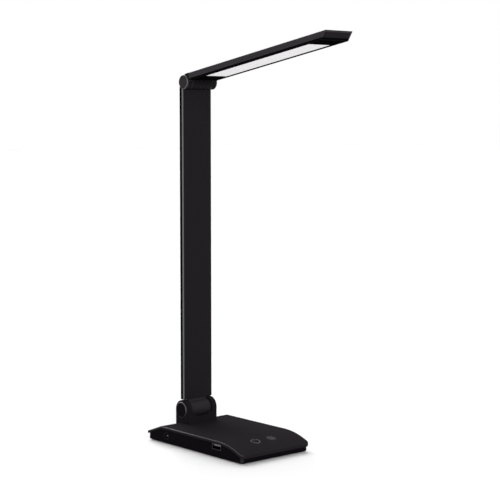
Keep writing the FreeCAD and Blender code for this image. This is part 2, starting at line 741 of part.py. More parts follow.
def hinge_yoke():
    """Yoke on the cover: two ears round the lower hinge and low walls between them."""
    body = new_body("hinge_yoke")
    front = hinge_y - d.yoke_radius
    rear = hinge_y + d.yoke_radius
    side = new_sketch(body, "YZ_Plane")
    top = (hinge_y, d.hinge_height + d.yoke_radius)
    points = [
        (front, d.cover_top), (crease_y, d.cover_top), (rear, slope_height(rear)),
        (rear, d.hinge_height), top, (front, d.hinge_height),
    ]
    outline(side, points, {3: (d.yoke_radius, False), 4: (d.yoke_radius, False)})
    pad(body, side, d.yoke_width, both_ways=True)
    outer = d.yoke_width.value / 2

    def ear_rim(edge):
        box_ = edge.BoundBox
        on_face = abs(abs(box_.XMin) - outer) < 1e-4 and box_.XLength < 1e-4
        return on_face and box_.ZMax > d.cover_top.value + 1e-3

    round_edges(body, ear_rim, d.ear_edge)
    inside = d.yoke_width - d.ear_thickness * 2
    cradle = new_sketch(body, "YZ_Plane")
    circle(cradle, hinge_y, d.hinge_height, d.barrel_radius + d.running_gap)
    pocket(body, cradle, inside, both_ways=True)
    gap = new_sketch(body, "YZ_Plane")
    low = (front - d.running_gap, d.hinge_height - d.cradle_drop)
    rectangle(gap, low, (rear + d.running_gap, d.hinge_height + d.yoke_radius * 2))
    pocket(body, gap, inside, both_ways=True)
    slot = new_sketch(body, "YZ_Plane")
    low = (front - d.running_gap, d.hinge_height - d.slot_drop)
    rectangle(slot, low, (hinge_y, d.hinge_height))
    pocket(body, slot, d.slot_width, both_ways=True)
    bore = new_sketch(body, "YZ_Plane")
    circle(bore, hinge_y, d.hinge_height, d.shaft_radius + d.shaft_gap)
    pocket(body, bore, d.yoke_width * 2, both_ways=True)
    for outward in (-1, 1):
        seat = new_sketch(body, "YZ_Plane", d.yoke_width / 2 * outward)
        circle(seat, hinge_y, d.hinge_height, d.pocket_radius)
        pocket(body, seat, d.pocket_depth, reverse=outward < 0)
    lead = new_sketch(body, "XY_Plane", d.cover_top)
    circle(lead, 0, hinge_y - d.yoke_screw_ahead, d.lead_hole_radius)
    pocket(body, lead, d.hinge_height, reverse=True)
    threads = new_sketch(body, "XY_Plane", d.cover_top)
    for outward in (-1, 1):
        circle(threads, d.yoke_screw_x * outward, hinge_y - d.yoke_screw_ahead,
               d.tapping_radius + d.shaft_gap)
    pocket(body, threads, d.yoke_screw_bite + d.seat_gap, reverse=True)


def yoke_screws():
    """Screws from under the cover that hold the yoke."""
    length = d.cover_thickness + d.yoke_screw_bite
    y = hinge_y - d.yoke_screw_ahead
    solids = [
        screw(f"yoke_screw_{i}", d.yoke_screw_x * side, y, cover_under, d.tapping_radius, length,
              d.tapping_head_radius, d.tapping_head)
        for i, side in enumerate((-1, 1))
    ]
    finish(grouped("yoke_screw_set", solids), "yoke_screws")


pocket_floor = d.yoke_width / 2 - d.pocket_depth
nut_start = pocket_floor + d.spring_thickness
nut_end = nut_start + d.nut_thickness
ear_inside = d.yoke_width / 2 - d.ear_thickness
lower_half = ear_inside - d.face_gap - d.washer_thickness


def lower_hinge():
    """Shaft, disc spring, nut and end caps of the lower hinge."""
    at_axis = {"y": hinge_y, "z": d.hinge_height}
    head_end = -pocket_floor - d.shaft_head
    points = [
        (head_end, 0), (head_end, d.shaft_head_radius), (-pocket_floor, d.shaft_head_radius),
        (-pocket_floor, d.shaft_radius), (nut_end, d.shaft_radius), (nut_end, 0),
    ]
    turned("lower_shaft", points, **at_axis)
    bore = d.shaft_radius + d.shaft_gap
    points = [
        (pocket_floor, bore), (pocket_floor, d.spring_radius),
        (nut_start, d.spring_radius), (nut_start, bore),
    ]
    turned("lower_spring", points, **at_axis)
    nut = new_body("lower_nut")
    hexagon = new_sketch(nut, "YZ_Plane", nut_start)
    corner = d.nut_flats / math.sqrt(3)
    turns = [math.radians(60 * i) for i in range(6)]
    outline(hexagon, [(corner * math.cos(turn), corner * math.sin(turn)) for turn in turns])
    circle(hexagon, 0, 0, bore)
    pad(nut, hexagon, d.nut_thickness)
    place(nut, **at_axis)
    face = d.yoke_width / 2 + d.lower_cap_proud
    radius = d.pocket_radius - d.seat_gap
    points = [
        (face - d.lower_cap_thickness, 0), (face - d.lower_cap_thickness, radius),
        (face - d.cap_bevel, radius), (face, radius - d.cap_bevel), (face, 0),
    ]
    turned("lower_caps", points, mirrored=True, **at_axis)
    points = [
        (lower_half, bore), (lower_half, d.washer_radius),
        (lower_half + d.washer_thickness, d.washer_radius), (lower_half + d.washer_thickness, bore),
    ]
    turned("lower_washers", points, mirrored=True, **at_axis)


post_top = d.post_bottom + d.post_length
upper_y = hinge_y - d.upper_ahead
upper_z = post_top + d.post_top_drop
tongue_half = d.post_width / 2 - d.post_wall - d.seat_gap
tongue_depth = d.post_depth / 2 - d.post_wall - d.seat_gap
channel_wide = d.lead_wide + d.running_gap * 2
channel_deep = d.lead_thick + d.running_gap


def knuckle(label, axis_y, axis_z, radius, half, bore, neck_width, neck_low, neck_high, tongue_low):
    """Barrel on a hinge axis, with a neck and a tongue that fills the post's end."""
    body = new_body(label)
    barrel = new_sketch(body, "YZ_Plane")
    circle(barrel, axis_y, axis_z, radius)
    pad(body, barrel, half * 2, both_ways=True)
    neck = new_sketch(body, "YZ_Plane")
    rectangle(neck, (hinge_y - tongue_depth, neck_low), (hinge_y + tongue_depth, neck_high))
    pad(body, neck, neck_width, both_ways=True)
    tongue = new_sketch(body, "YZ_Plane")
    tongue_high = tongue_low + d.tongue_length
    rectangle(tongue, (hinge_y - tongue_depth, tongue_low), (hinge_y + tongue_depth, tongue_high))
    pad(body, tongue, tongue_half * 2, both_ways=True)
    shaft_bore = new_sketch(body, "YZ_Plane")
    circle(shaft_bore, axis_y, axis_z, bore)
    pocket(body, shaft_bore, half * 4, both_ways=True)
    channel = new_sketch(body, "YZ_Plane")
    low = (hinge_y + tongue_depth - channel_deep, tongue_low - d.upper_radius)
    rectangle(channel, low, (hinge_y + d.post_depth, tongue_high + d.upper_radius))
    pocket(body, channel, channel_wide, both_ways=True)
    threads = new_sketch(body, "XZ_Plane", -hinge_y - tongue_depth)
    for side in (-1, 1):
        circle(threads, d.tongue_screw_x * side, tongue_middle(tongue_low), d.post_screw_radius + d.shaft_gap)
    pocket(body, threads, d.post_screw_bite + d.seat_gap, reverse=True)


def tongue_middle(tongue_low):
    """Return the height of the screws that hold a tongue."""
    if tongue_low.value < (d.post_bottom + d.post_length / 2).value:
        return d.post_bottom + d.tongue_screw_depth
    return post_top - d.tongue_screw_depth


def lower_knuckle():
    """Knuckle at the post's lower end."""
    knuckle("lower_knuckle", hinge_y, d.hinge_height, d.barrel_radius, lower_half,
            d.shaft_radius + d.shaft_gap, d.neck_width, d.hinge_height + d.shaft_radius + d.running_gap,
            d.post_bottom, d.post_bottom)


def upper_knuckle():
    """Knuckle at the post's upper end, ahead of the post's middle."""
    knuckle("upper_knuckle", upper_y, upper_z, d.upper_barrel_radius, d.upper_knuckle_length / 2,
            d.upper_shaft_radius + d.shaft_gap, d.upper_neck_width, post_top, upper_z,
            post_top - d.tongue_length)


def post_tube():
    """Flat aluminium tube with chamfered edges, a top hollowed round the upper hinge and screw holes."""
    body = new_body("post_tube")
    section = new_sketch(body, "XY_Plane", d.post_bottom)
    half = d.post_width / 2
    front = hinge_y - d.post_depth / 2
    rear = hinge_y + d.post_depth / 2
    cut = d.post_chamfer
    points = [
        (cut - half, front), (half - cut, front), (half, front + cut), (half, rear - cut),
        (half - cut, rear), (cut - half, rear), (-half, rear - cut), (-half, front + cut),
    ]
    outline(section, points)
    full_length = d.post_length + d.post_rise
    pad(body, section, full_length)
    inside = new_sketch(body, "XY_Plane", d.post_bottom)
    wall = d.post_wall
    rectangle(inside, (wall - half, front + wall), (half - wall, rear - wall))
    pocket(body, inside, full_length, reverse=True)
    hollow = new_sketch(body, "YZ_Plane")
    circle(hollow, upper_y, upper_z, d.upper_radius + d.seat_gap)
    pocket(body, hollow, d.post_width * 2, both_ways=True)
    holes = new_sketch(body, "XZ_Plane", -rear)
    for z in (d.post_bottom + d.tongue_screw_depth, post_top - d.tongue_screw_depth):
        for side in (-1, 1):
            circle(holes, d.tongue_screw_x * side, z, d.post_screw_radius + d.seat_gap)
    pocket(body, holes, d.post_wall, reverse=True)


def post_screws():
    """Screws at the rear of the post, two in each knuckle's tongue."""
    rear = hinge_y + d.post_depth / 2
    reach = d.post_wall + d.seat_gap + d.post_screw_bite
    solids = []
    for z in (d.post_bottom + d.tongue_screw_depth, post_top - d.tongue_screw_depth):
        for side in (-1, 1):
            name = f"post_screw_{len(solids)}"
            x = d.tongue_screw_x * side
            length = reach + d.post_screw_cap
            thread = rod(f"{name}_thread", d.post_screw_radius, length, x, rear - reach, z, ALONG_Y)
            head = rod(f"{name}_head", d.post_screw_head, d.post_screw_cap, x, rear, z, ALONG_Y)
            solids.append(joined(name, [thread, head]))
    finish(grouped("post_screw_set", solids), "post_screws")


def post_lead():
    """Twin lead that runs inside the post, in the channels of both tongues."""
    rear = hinge_y + tongue_depth
    low = (-d.lead_wide / 2, rear - d.lead_thick, d.post_bottom + d.lead_end)
    high = (d.lead_wide / 2, rear, post_top - d.lead_end)
    finish(box("post_lead_run", low, high), "post_lead")


upper_half = d.upper_knuckle_length / 2
washer_outside = upper_half + d.washer_thickness
head_half = d.head_width / 2
cap_inside = head_half + d.face_gap
cap_face = d.upper_length / 2


def upper_hinge():
    """Shaft, friction washers and end caps of the upper hinge."""
    at_axis = {"y": upper_y, "z": upper_z}
    reach = cap_inside + d.upper_socket - d.seat_gap
    shaft = rod("upper_shaft_rod", d.upper_shaft_radius, reach * 2, -reach, upper_y, upper_z, ALONG_X)
    finish(shaft, "upper_shaft")
    bore = d.upper_shaft_radius + d.shaft_gap
    points = [
        (upper_half, bore), (upper_half, d.upper_washer_radius),
        (washer_outside, d.upper_washer_radius), (washer_outside, bore),
    ]
    turned("upper_washers", points, mirrored=True, **at_axis)
    points = [
        (cap_inside, bore), (cap_inside, d.upper_radius), (cap_face - d.cap_bevel, d.upper_radius),
        (cap_face, d.upper_radius - d.cap_bevel), (cap_face, 0), (cap_inside + d.upper_socket, 0),
        (cap_inside + d.upper_socket, bore),
    ]
    turned("upper_caps", points, mirrored=True, **at_axis)


# The head is drawn level, with the hinge axis at its origin, and then tilted into place.
HEAD_AXIS = Vector(1, 0, 0)
underside = d.head_lift
head_top = underside + d.head_height
frame_top = underside + d.frame_thickness
head_low_end = d.head_length - d.head_undercut
undercut = d.head_undercut / d.head_height
roof_under = head_top - d.head_roof
inside_half = head_half - d.head_wall
lens_far = head_low_end - d.lens_end
lens_half = head_half - d.lens_border
flange_top = frame_top + d.lens_flange
guide_top = flange_top + d.guide_thickness
flange_half = lens_half - d.seat_gap + d.lens_lip


def end_reach(z):
    """Return how far the head's slanted front end reaches at a height."""
    return head_low_end + (z - underside) * undercut


def tilt(obj):
    """Put a piece of the head on the upper hinge, at the head's tilt."""
    obj.Placement = FreeCAD.Placement(Vector(), FreeCAD.Rotation(HEAD_AXIS, -1))
    bind(obj, "Placement.Rotation.Angle", -d.head_tilt)
    bind(obj, "Placement.Base.y", upper_y)
    bind(obj, "Placement.Base.z", upper_z)


def head_box(name, half_x, near, far, low, high):
    """Make a box across the head, from near to far ahead of the hinge axis."""
    return box(name, (-half_x, -far, low), (half_x, -near, high))


def head_bracket():
    """Bracket with two ears round the upper hinge and a tongue inside the housing."""
    body = new_body("head_bracket")
    profile = new_sketch(body, "YZ_Plane")
    circle(profile, 0, 0, d.upper_barrel_radius)
    pad(body, profile, head_half * 2, both_ways=True)
    block = new_sketch(body, "YZ_Plane")
    points = [
        (-d.head_start, underside), (0, underside), (0, d.upper_barrel_radius),
        (-d.head_lead_in, head_top), (-d.head_start, head_top),
    ]
    outline(block, points)
    pad(body, block, head_half * 2, both_ways=True)
    tongue = new_sketch(body, "YZ_Plane")
    far = d.head_start + d.bracket_length
    tongue_top = roof_under - d.seat_gap
    rectangle(tongue, (-far, frame_top + d.seat_gap), (-d.head_start, tongue_top))
    pad(body, tongue, (inside_half - d.seat_gap) * 2, both_ways=True)
    gap = new_sketch(body, "YZ_Plane")
    clear = d.upper_barrel_radius + d.running_gap
    rectangle(gap, (-clear, -clear * 2), (clear * 2, clear * 2))
    pocket(body, gap, (washer_outside + d.face_gap) * 2, both_ways=True)
    bore = new_sketch(body, "YZ_Plane")
    circle(bore, 0, 0, d.upper_shaft_radius + d.shaft_gap)
    pocket(body, bore, d.head_width * 2, both_ways=True)
    middle = -d.head_start - d.bracket_length / 2
    holes = new_sketch(body, "XY_Plane", tongue_top)
    seats = new_sketch(body, "XY_Plane", frame_top + d.seat_gap)
    for side in (-1, 1):
        circle(holes, d.bracket_screw_x * side, middle, d.bracket_screw_radius + d.seat_gap)
        circle(seats, d.bracket_screw_x * side, middle, d.bracket_screw_head + d.seat_gap)
    pocket(body, holes, d.head_height)
    pocket(body, seats, d.bracket_screw_cap + d.seat_gap, reverse=True)
    tilt(body)


def bracket_screws():
    """Screws that hold the bracket's tongue to the housing's roof."""
    under_head = frame_top + d.seat_gap * 2 + d.bracket_screw_cap
    length = roof_under + d.bracket_screw_bite - under_head
    y = -d.head_start - d.bracket_length / 2
    solids = [
        screw(f"bracket_screw_{i}", d.bracket_screw_x * side, y, under_head, d.bracket_screw_radius, length,
              d.bracket_screw_head, d.bracket_screw_cap)
        for i, side in enumerate((-1, 1))
    ]
    tilt(finish(grouped("bracket_screw_set", solids), "bracket_screws"))


def slant_cut(body, low, high):
    """Cut the slanted front end on a body of the head, between two heights and beyond."""
    sketch = new_sketch(body, "YZ_Plane")
    past = d.head_length + d.head_undercut * 2
    outline(sketch, [(-end_reach(low), low), (-end_reach(high), high), (-past, high), (-past, low)])
    pocket(body, sketch, d.head_width * 2, both_ways=True)


def head_housing():
    """Aluminium channel of the head, open below, with a slanted front end."""
    body = new_body("head_housing")
    section = new_sketch(body, "XZ_Plane", d.head_start)
    cut = d.head_chamfer
    points = [
        (-head_half, frame_top), (-head_half, head_top - cut), (cut - head_half, head_top),
        (head_half - cut, head_top), (head_half, head_top - cut), (head_half, frame_top),
        (inside_half, frame_top), (inside_half, roof_under),
        (-inside_half, roof_under), (-inside_half, frame_top),
    ]
    outline(section, points)
    pad(body, section, d.head_length + d.head_undercut - d.head_start)
    slant_cut(body, underside, head_top + d.head_roof)
    threads = new_sketch(body, "XY_Plane", roof_under)
    for side in (-1, 1):
        y = -d.head_start - d.bracket_length / 2
        circle(threads, d.bracket_screw_x * side, y, d.bracket_screw_radius + d.shaft_gap)
    pocket(body, threads, d.bracket_screw_bite + d.shaft_gap, reverse=True)
    tilt(body)


def head_frame():
    """Lower frame of the head round the lit window."""
    body = new_body("head_frame")
    plan = new_sketch(body, "XY_Plane", underside)
    far = d.head_length + d.head_undercut
    rectangle(plan, (-head_half, -far), (head_half, -d.head_start))
    pad(body, plan, d.frame_thickness)
    slant_cut(body, underside - d.frame_thickness, frame_top + d.frame_thickness)
    window = new_sketch(body, "XY_Plane", underside)
    rectangle(window, (-lens_half, -lens_far), (lens_half, -d.lens_start))
    pocket(body, window, d.frame_thickness, reverse=True)
    tilt(body)


def lens_plate(name, half_x, overlap, low, high):
    """Make a plate over the lit window, wider and longer than it by an overlap."""
    return head_box(name, half_x, d.lens_start - overlap, lens_far + overlap, low, high)


def optics():
    """Diffuser, light guide and reflector, stacked on the frame."""
    pane_half = lens_half - d.seat_gap
    pane = lens_plate("lens_pane", pane_half, -d.seat_gap, underside + d.lens_recess, flange_top)
    lip = d.lens_lip - d.seat_gap
    flange = lens_plate("lens_flange_plate", flange_half, lip, frame_top, flange_top)
    tilt(finish(joined("lens_stepped", [pane, flange]), "diffuser"))
    guide = lens_plate("guide_plate", flange_half - d.seat_gap, lip, flange_top, guide_top)
    tilt(finish(grouped("guide_part", [guide]), "light_guide"))
    sheet_top = guide_top + d.reflector_thickness
    film = lens_plate("reflector_film", flange_half - d.seat_gap, lip, guide_top, sheet_top)
    tilt(finish(grouped("reflector_part", [film]), "reflector"))


def led_strips():
    """Boards along both side walls, with LEDs that face the edges of the light guide."""
    board_outer = inside_half - d.shaft_gap
    board_inner = board_outer - d.led_board_thickness
    near = d.lens_start
    first = near + d.led_end
    pitch = (lens_far - first - d.led_end - d.led_long) / (LEDS_PER_BOARD - 1)
    boards = []
    chips = []
    middle_z = (flange_top + guide_top) / 2
    led_low = middle_z - d.led_tall / 2
    led_high = middle_z + d.led_tall / 2
    for side in (-1, 1):
        outer = board_outer * side
        inner = board_inner * side
        front = (board_inner - d.led_thick) * side
        low_x, high_x = (outer, inner) if side < 0 else (inner, outer)
        name = f"led_board_{len(boards)}"
        board_top = guide_top + d.reflector_thickness
        boards.append(box(name, (low_x, -lens_far, frame_top), (high_x, -near, board_top)))
        low_x, high_x = (inner, front) if side < 0 else (front, inner)
        for i in range(LEDS_PER_BOARD):
            start = first + pitch * i
            low = (low_x, -start - d.led_long, led_low)
            high = (high_x, -start, led_high)
            chips.append(box(f"led_{len(chips)}", low, high))
    tilt(finish(grouped("led_board_set", boards), "led_boards"))
    tilt(finish(grouped("led_set", chips), "leds"))


def head_end_cap():
    """Cap that closes the slanted front end, between the housing's walls."""
    body = new_body("head_end_cap")
    profile = new_sketch(body, "YZ_Plane")
    low = frame_top
    high = roof_under
    thick = d.end_cap_thickness
    points = [
        (-end_reach(low), low), (-end_reach(high), high),
        (thick - end_reach(high), high), (thick - end_reach(low), low),
    ]
    outline(profile, points)
    pad(body, profile, (inside_half - d.shaft_gap) * 2, both_ways=True)
    tilt(body)


def check_document():
    """Stop if any object failed, or if a sub-part has no valid solid."""
    doc.recompute()
    for obj in doc.Objects:
        if "Invalid" in obj.State or "Error" in obj.State:
            raise RuntimeError(f"{obj.Label} failed: {obj.State}")
    for obj in nodes:
        shape = obj.Shape
        if shape.isNull() or not shape.isValid() or not shape.Solids:
            raise RuntimeError(f"{obj.Label} has no valid solid")


def main():
    """Build every sub-part, check it and write it."""
    for build in (
        base_pad, base_tray, base_cover, base_screws, ballast_plate, control_board, board_screws, usb_socket,
        dc_inlet, touch_electrodes, hinge_yoke, yoke_screws, lower_hinge, lower_knuckle, post_tube,
        post_screws, post_lead, upper_knuckle, upper_hinge, head_bracket, bracket_screws, head_housing,
        head_frame, optics, led_strips, head_end_cap,
    ):
        build()
    check_document()
    os.makedirs("parts", exist_ok=True)
    for obj in nodes:
        obj.Shape.exportStep(f"parts/{obj.Label}.step")
        print(f"{obj.Label}: {len(obj.Shape.Solids)} solids, {obj.Shape.Volume:.1f} mm3")


main()
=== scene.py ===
"""A slim folding LED table lamp, dressed over its solids and lit on a pale studio floor."""
import logging
import math
from dataclasses import dataclass
from enum import Enum
from typing import Any, Callable, ClassVar, Optional, Sequence, Union

import bmesh
import bpy
from mathutils import Matrix, Vector


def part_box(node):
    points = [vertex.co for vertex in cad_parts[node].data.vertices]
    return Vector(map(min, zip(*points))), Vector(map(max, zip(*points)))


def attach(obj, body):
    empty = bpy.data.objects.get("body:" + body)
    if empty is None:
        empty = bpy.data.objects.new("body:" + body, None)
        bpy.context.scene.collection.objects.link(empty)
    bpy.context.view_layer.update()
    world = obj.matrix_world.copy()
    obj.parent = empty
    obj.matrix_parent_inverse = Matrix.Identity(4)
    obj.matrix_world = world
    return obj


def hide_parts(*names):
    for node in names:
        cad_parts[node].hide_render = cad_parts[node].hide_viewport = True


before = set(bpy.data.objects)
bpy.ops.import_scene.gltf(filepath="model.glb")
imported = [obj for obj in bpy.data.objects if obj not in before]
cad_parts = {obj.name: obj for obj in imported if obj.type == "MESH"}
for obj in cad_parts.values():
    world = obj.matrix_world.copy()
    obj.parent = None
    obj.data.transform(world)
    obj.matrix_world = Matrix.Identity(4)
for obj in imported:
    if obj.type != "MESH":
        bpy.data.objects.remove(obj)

log = logging.getLogger("table_lamp")
MM = 0.001
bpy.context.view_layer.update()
FULL_TURN = 360.0
# The smallest angle that counts as an edge on the hinges' round pieces and the post, in degrees
ROUND_LIMIT = 40.0
Colour = tuple[float, float, float]
Point = tuple[float, float, float]
Band = tuple[float, float]
Profile = tuple[tuple[float, float], ...]
Number = Union[int, float]
Operand = Union["Channel", Number]
Picker = Callable[[bpy.types.MeshPolygon], int]
Ring = list[bmesh.types.BMVert]


class Body(Enum):
    """The moving bodies that pieces ride on."""

    BASE = "base"
    POST = "post"
    HEAD = "head"


class Grain(Enum):
    """How far a grain is drawn out along X, Y and Z."""

    EVEN = (1.0, 1.0, 1.0)
    LENGTHWISE = (1.0, 60.0, 1.0)
    UPRIGHT = (1.0, 1.0, 60.0)
    ACROSS = (40.0, 1.0, 1.0)


class Mark(Enum):
    """The two printed touch marks, by their side of the base's middle."""

    POWER = -1
    DIMMER = 1


class LightKind(Enum):
    """The kinds of light in the studio."""

    AREA = "a soft square light"
    SUN = "a broad light that is even over the whole floor"


class Channel:
    """A shader socket with arithmetic, so that masks and mixes read as formulas."""

    def __init__(self, graph: "Graph", socket: bpy.types.NodeSocket) -> None:
        """Keep the socket and the graph that it belongs to."""
        self.graph = graph
        self.socket = socket

    def math(self, operation: str, *others: Operand) -> "Channel":
        """Return a Math node's result on this value.

        Args:
            operation: the Math node's operation.
            others: its further inputs, in order.

        Returns:
            The node's output.
        """
        values = dict(enumerate((self, *others)))
        return self.graph.out("ShaderNodeMath", {"operation": operation}, values)

    def flipped(self, operation: str, first: Number) -> "Channel":
        """Return a Math node's result with a plain number as its first input."""
        return self.graph.out("ShaderNodeMath", {"operation": operation}, {0: first, 1: self})

    def __add__(self, other: Operand) -> "Channel":
        """Add."""
        return self.math("ADD", other)

    def __radd__(self, other: Number) -> "Channel":
        """Add to a number."""
        return self.flipped("ADD", other)

    def __sub__(self, other: Operand) -> "Channel":
        """Subtract."""
        return self.math("SUBTRACT", other)

    def __rsub__(self, other: Number) -> "Channel":
        """Subtract from a number."""
        return self.flipped("SUBTRACT", other)

    def __mul__(self, other: Operand) -> "Channel":
        """Multiply."""
        return self.math("MULTIPLY", other)

    def __rmul__(self, other: Number) -> "Channel":
        """Multiply a number."""
        return self.flipped("MULTIPLY", other)

    def __truediv__(self, other: Operand) -> "Channel":
        """Divide."""
        return self.math("DIVIDE", other)

    def __pow__(self, other: Number) -> "Channel":
        """Raise to a power."""
        return self.math("POWER", other)

    def above(self, low: float, high: float) -> "Channel":
        """Return a soft step from 0 at low to 1 at high."""
        settings = {"interpolation_type": "SMOOTHSTEP"}
        inputs = {"Value": self, "From Min": low, "From Max": high}
        return self.graph.out("ShaderNodeMapRange", settings, inputs)

    def unit(self) -> "Channel":
        """Return a wave of -1 to 1 as a value of 0 to 1."""
        return self * 0.5 + 0.5

    def swing(self) -> "Channel":
        """Return how far a value of 0 to 1 lies from its middle."""
        return self - 0.5


class Graph:
    """A node tree that is written node by node."""

    def __init__(self, tree: bpy.types.NodeTree) -> None:
        """Start with an empty tree."""
        self.tree = tree
        tree.nodes.clear()

    def node(self, kind: str, settings: dict[str, Any], inputs: dict[Any, Any]) -> bpy.types.Node:
        """Add a node.

        Args:
            kind: the node's type.
            settings: its properties, which are set first.
            inputs: values or channels by the socket's name or index.

        Returns:
            The new node.
        """
        made = self.tree.nodes.new(kind)
        for name, value in settings.items():
            setattr(made, name, value)
        for key, value in inputs.items():
            if isinstance(value, Channel):
                self.tree.links.new(value.socket, made.inputs[key])
            else:
                made.inputs[key].default_value = value
        return made

    def out(self, kind: str, settings: dict[str, Any], inputs: dict[Any, Any],
            output: Union[int, str] = 0) -> Channel:
        """Add a node and return one of its outputs."""
        return Channel(self, self.node(kind, settings, inputs).outputs[output])

    def any_seen_ray(self) -> Channel:
        """Return 1 for camera, glossy and transmission rays, and 0 for rays that carry light."""
        rays = self.node("ShaderNodeLightPath", {}, {})
        kinds = ("Is Camera Ray", "Is Glossy Ray", "Is Transmission Ray")
        camera, glossy, through = (Channel(self, rays.outputs[kind]) for kind in kinds)
        return camera.math("MAXIMUM", glossy).math("MAXIMUM", through)


class Shader(Graph):
    """A material's graph, with the textures that the finishes share."""

    def __init__(self, name: str) -> None:
        """Start a material."""
        self.material = bpy.data.materials.new(name)
        self.material.use_nodes = True
        super().__init__(self.material.node_tree)

    def place(self, grain: Grain = Grain.EVEN, tilt: float = 0.0) -> Channel:
        """Return object coordinates, turned about X by some degrees and drawn out along a grain."""
        spot = self.out("ShaderNodeTexCoord", {}, {}, "Object")
        turn = (math.radians(tilt), 0.0, 0.0)
        inputs = {"Vector": spot, "Rotation": turn, "Scale": grain.value}
        return self.out("ShaderNodeMapping", {"vector_type": "TEXTURE"}, inputs)

    def noise(self, spot: Channel, size: float, detail: float = 3.0,
              rough: float = 0.55) -> Channel:
        """Return noise whose features are about a size across, in millimetres."""
        inputs = {"Vector": spot, "Scale": 1 / (size * MM), "Detail": detail, "Roughness": rough}
        return self.out("ShaderNodeTexNoise", {}, inputs)

    def coordinate(self, spot: Channel, axis: str) -> Channel:
        """Return one coordinate of a place, in millimetres."""
        return self.out("ShaderNodeSeparateXYZ", {}, {0: spot}, axis) * (1 / MM)

    def waves(self, spot: Channel, pitch: float) -> list[Channel]:
        """Return sine waves along X and along Y, with a pitch in millimetres."""
        turns = math.tau / pitch
        return [(self.coordinate(spot, axis) * turns).math("SINE") for axis in ("X", "Y")]

    def blend(self, factor: Channel, low: Colour, high: Colour) -> Channel:
        """Return a colour between two, by a factor."""
        inputs = {0: factor, 6: (*low, 1.0), 7: (*high, 1.0)}
        return self.out("ShaderNodeMix", {"data_type": "RGBA"}, inputs, 2)

    def bump(self, height: Channel, depth: float) -> Channel:
        """Return a normal from a height of 0 to 1 that stands for a depth in millimetres."""
        inputs = {"Strength": 1.0, "Distance": depth * MM, "Height": height}
        return self.out("ShaderNodeBump", {}, inputs)

    def surface(self, inputs: dict[str, Any]) -> bpy.types.Material:
        """Close the material with a Principled shader."""
        shade = self.out("ShaderNodeBsdfPrincipled", {}, inputs)
        self.node("ShaderNodeOutputMaterial", {}, {"Surface": shade})
        return self.material


@dataclass(frozen=True)
class Finish:
    """A finish with colour, gloss, a fine relief and the wear and handling marks of its surface.

    Sizes and depths are in millimetres, and the colour is linear.
    """

    name: str
    slot: str
    colour: Colour
    roughness: float
    specular: float = 0.2
    metallic: float = 0.0
    grain: Grain = Grain.EVEN
    tilt: float = 0.0
    grain_size: float = 0.35
    grain_depth: float = 0.012
    spread: float = 0.1
    mottle: float = 0.18
    fleck: float = 0.0
    fine_share: ClassVar[float] = 0.55
    cloud_share: ClassVar[float] = 0.45
    cloud_ratio: ClassVar[float] = 60.0
    scuff_ratio: ClassVar[float] = 9.0
    scuff_band: ClassVar[Band] = (0.58, 0.75)
    scuff_gloss: ClassVar[float] = 0.6
    scuff_height: ClassVar[float] = 0.4

    def material(self) -> bpy.types.Material:
        """Return the finish's material, made on first use."""
        return bpy.data.materials.get(self.name) or self.paint(Shader(self.name))

    def shade(self, gain: float, lift: float = 0.0) -> Colour:
        """Return the finish's colour times a gain, plus a lift."""
        red, green, blue = (value * gain + lift for value in self.colour)
        return red, green, blue

    def paint(self, shader: Shader) -> bpy.types.Material:
        """Write the material's nodes.

        Args:
            shader: the empty material.

        Returns:
            The finished material.
        """
        plain = shader.place()
        fine = shader.noise(shader.place(self.grain, self.tilt), self.grain_size)
        cloudy = shader.noise(plain, self.grain_size * self.cloud_ratio, detail=4.0)
        rubbed = shader.noise(plain, self.grain_size * self.scuff_ratio, detail=6.0, rough=0.7)
        scuffs = rubbed.above(*self.scuff_band)
        tone = fine * self.fine_share + cloudy * self.cloud_share
        dark = self.shade(1 - self.mottle)
        light = self.shade(1 + self.mottle, self.fleck)
        wear = scuffs * (self.spread * self.scuff_gloss)
        return shader.surface({
            "Base Color": shader.blend(tone, dark, light),
            "Roughness": self.roughness + cloudy.swing() * self.spread + wear,
            "Metallic": self.metallic,
            "Specular IOR Level": self.specular,
            "Normal": shader.bump(fine + scuffs * self.scuff_height, self.grain_depth),
        })


@dataclass(frozen=True)
class RibbedRubber(Finish):
    """Rubber with a moulded pattern of small pyramids and dust in its grooves."""

    pitch: float = 1.8
    rib_depth: float = 0.15
    grit: float = 0.2
    dust_gain: float = 1.8
    dust_lift: float = 0.01

    def paint(self, shader: Shader) -> bpy.types.Material:
        """Write the material's nodes; the pattern runs across and along the base."""
        spot = shader.place()
        across, along = (wave.unit() for wave in shader.waves(spot, self.pitch))
        height = across * along
        fine = shader.noise(spot, self.grain_size)
        dusty = self.shade(self.dust_gain, self.dust_lift)
        return shader.surface({
            "Base Color": shader.blend((1 - height) * fine, self.colour, dusty),
            "Roughness": self.roughness + fine * self.spread,
            "Specular IOR Level": self.specular,
            "Normal": shader.bump(height + fine * self.grit, self.rib_depth),
        })


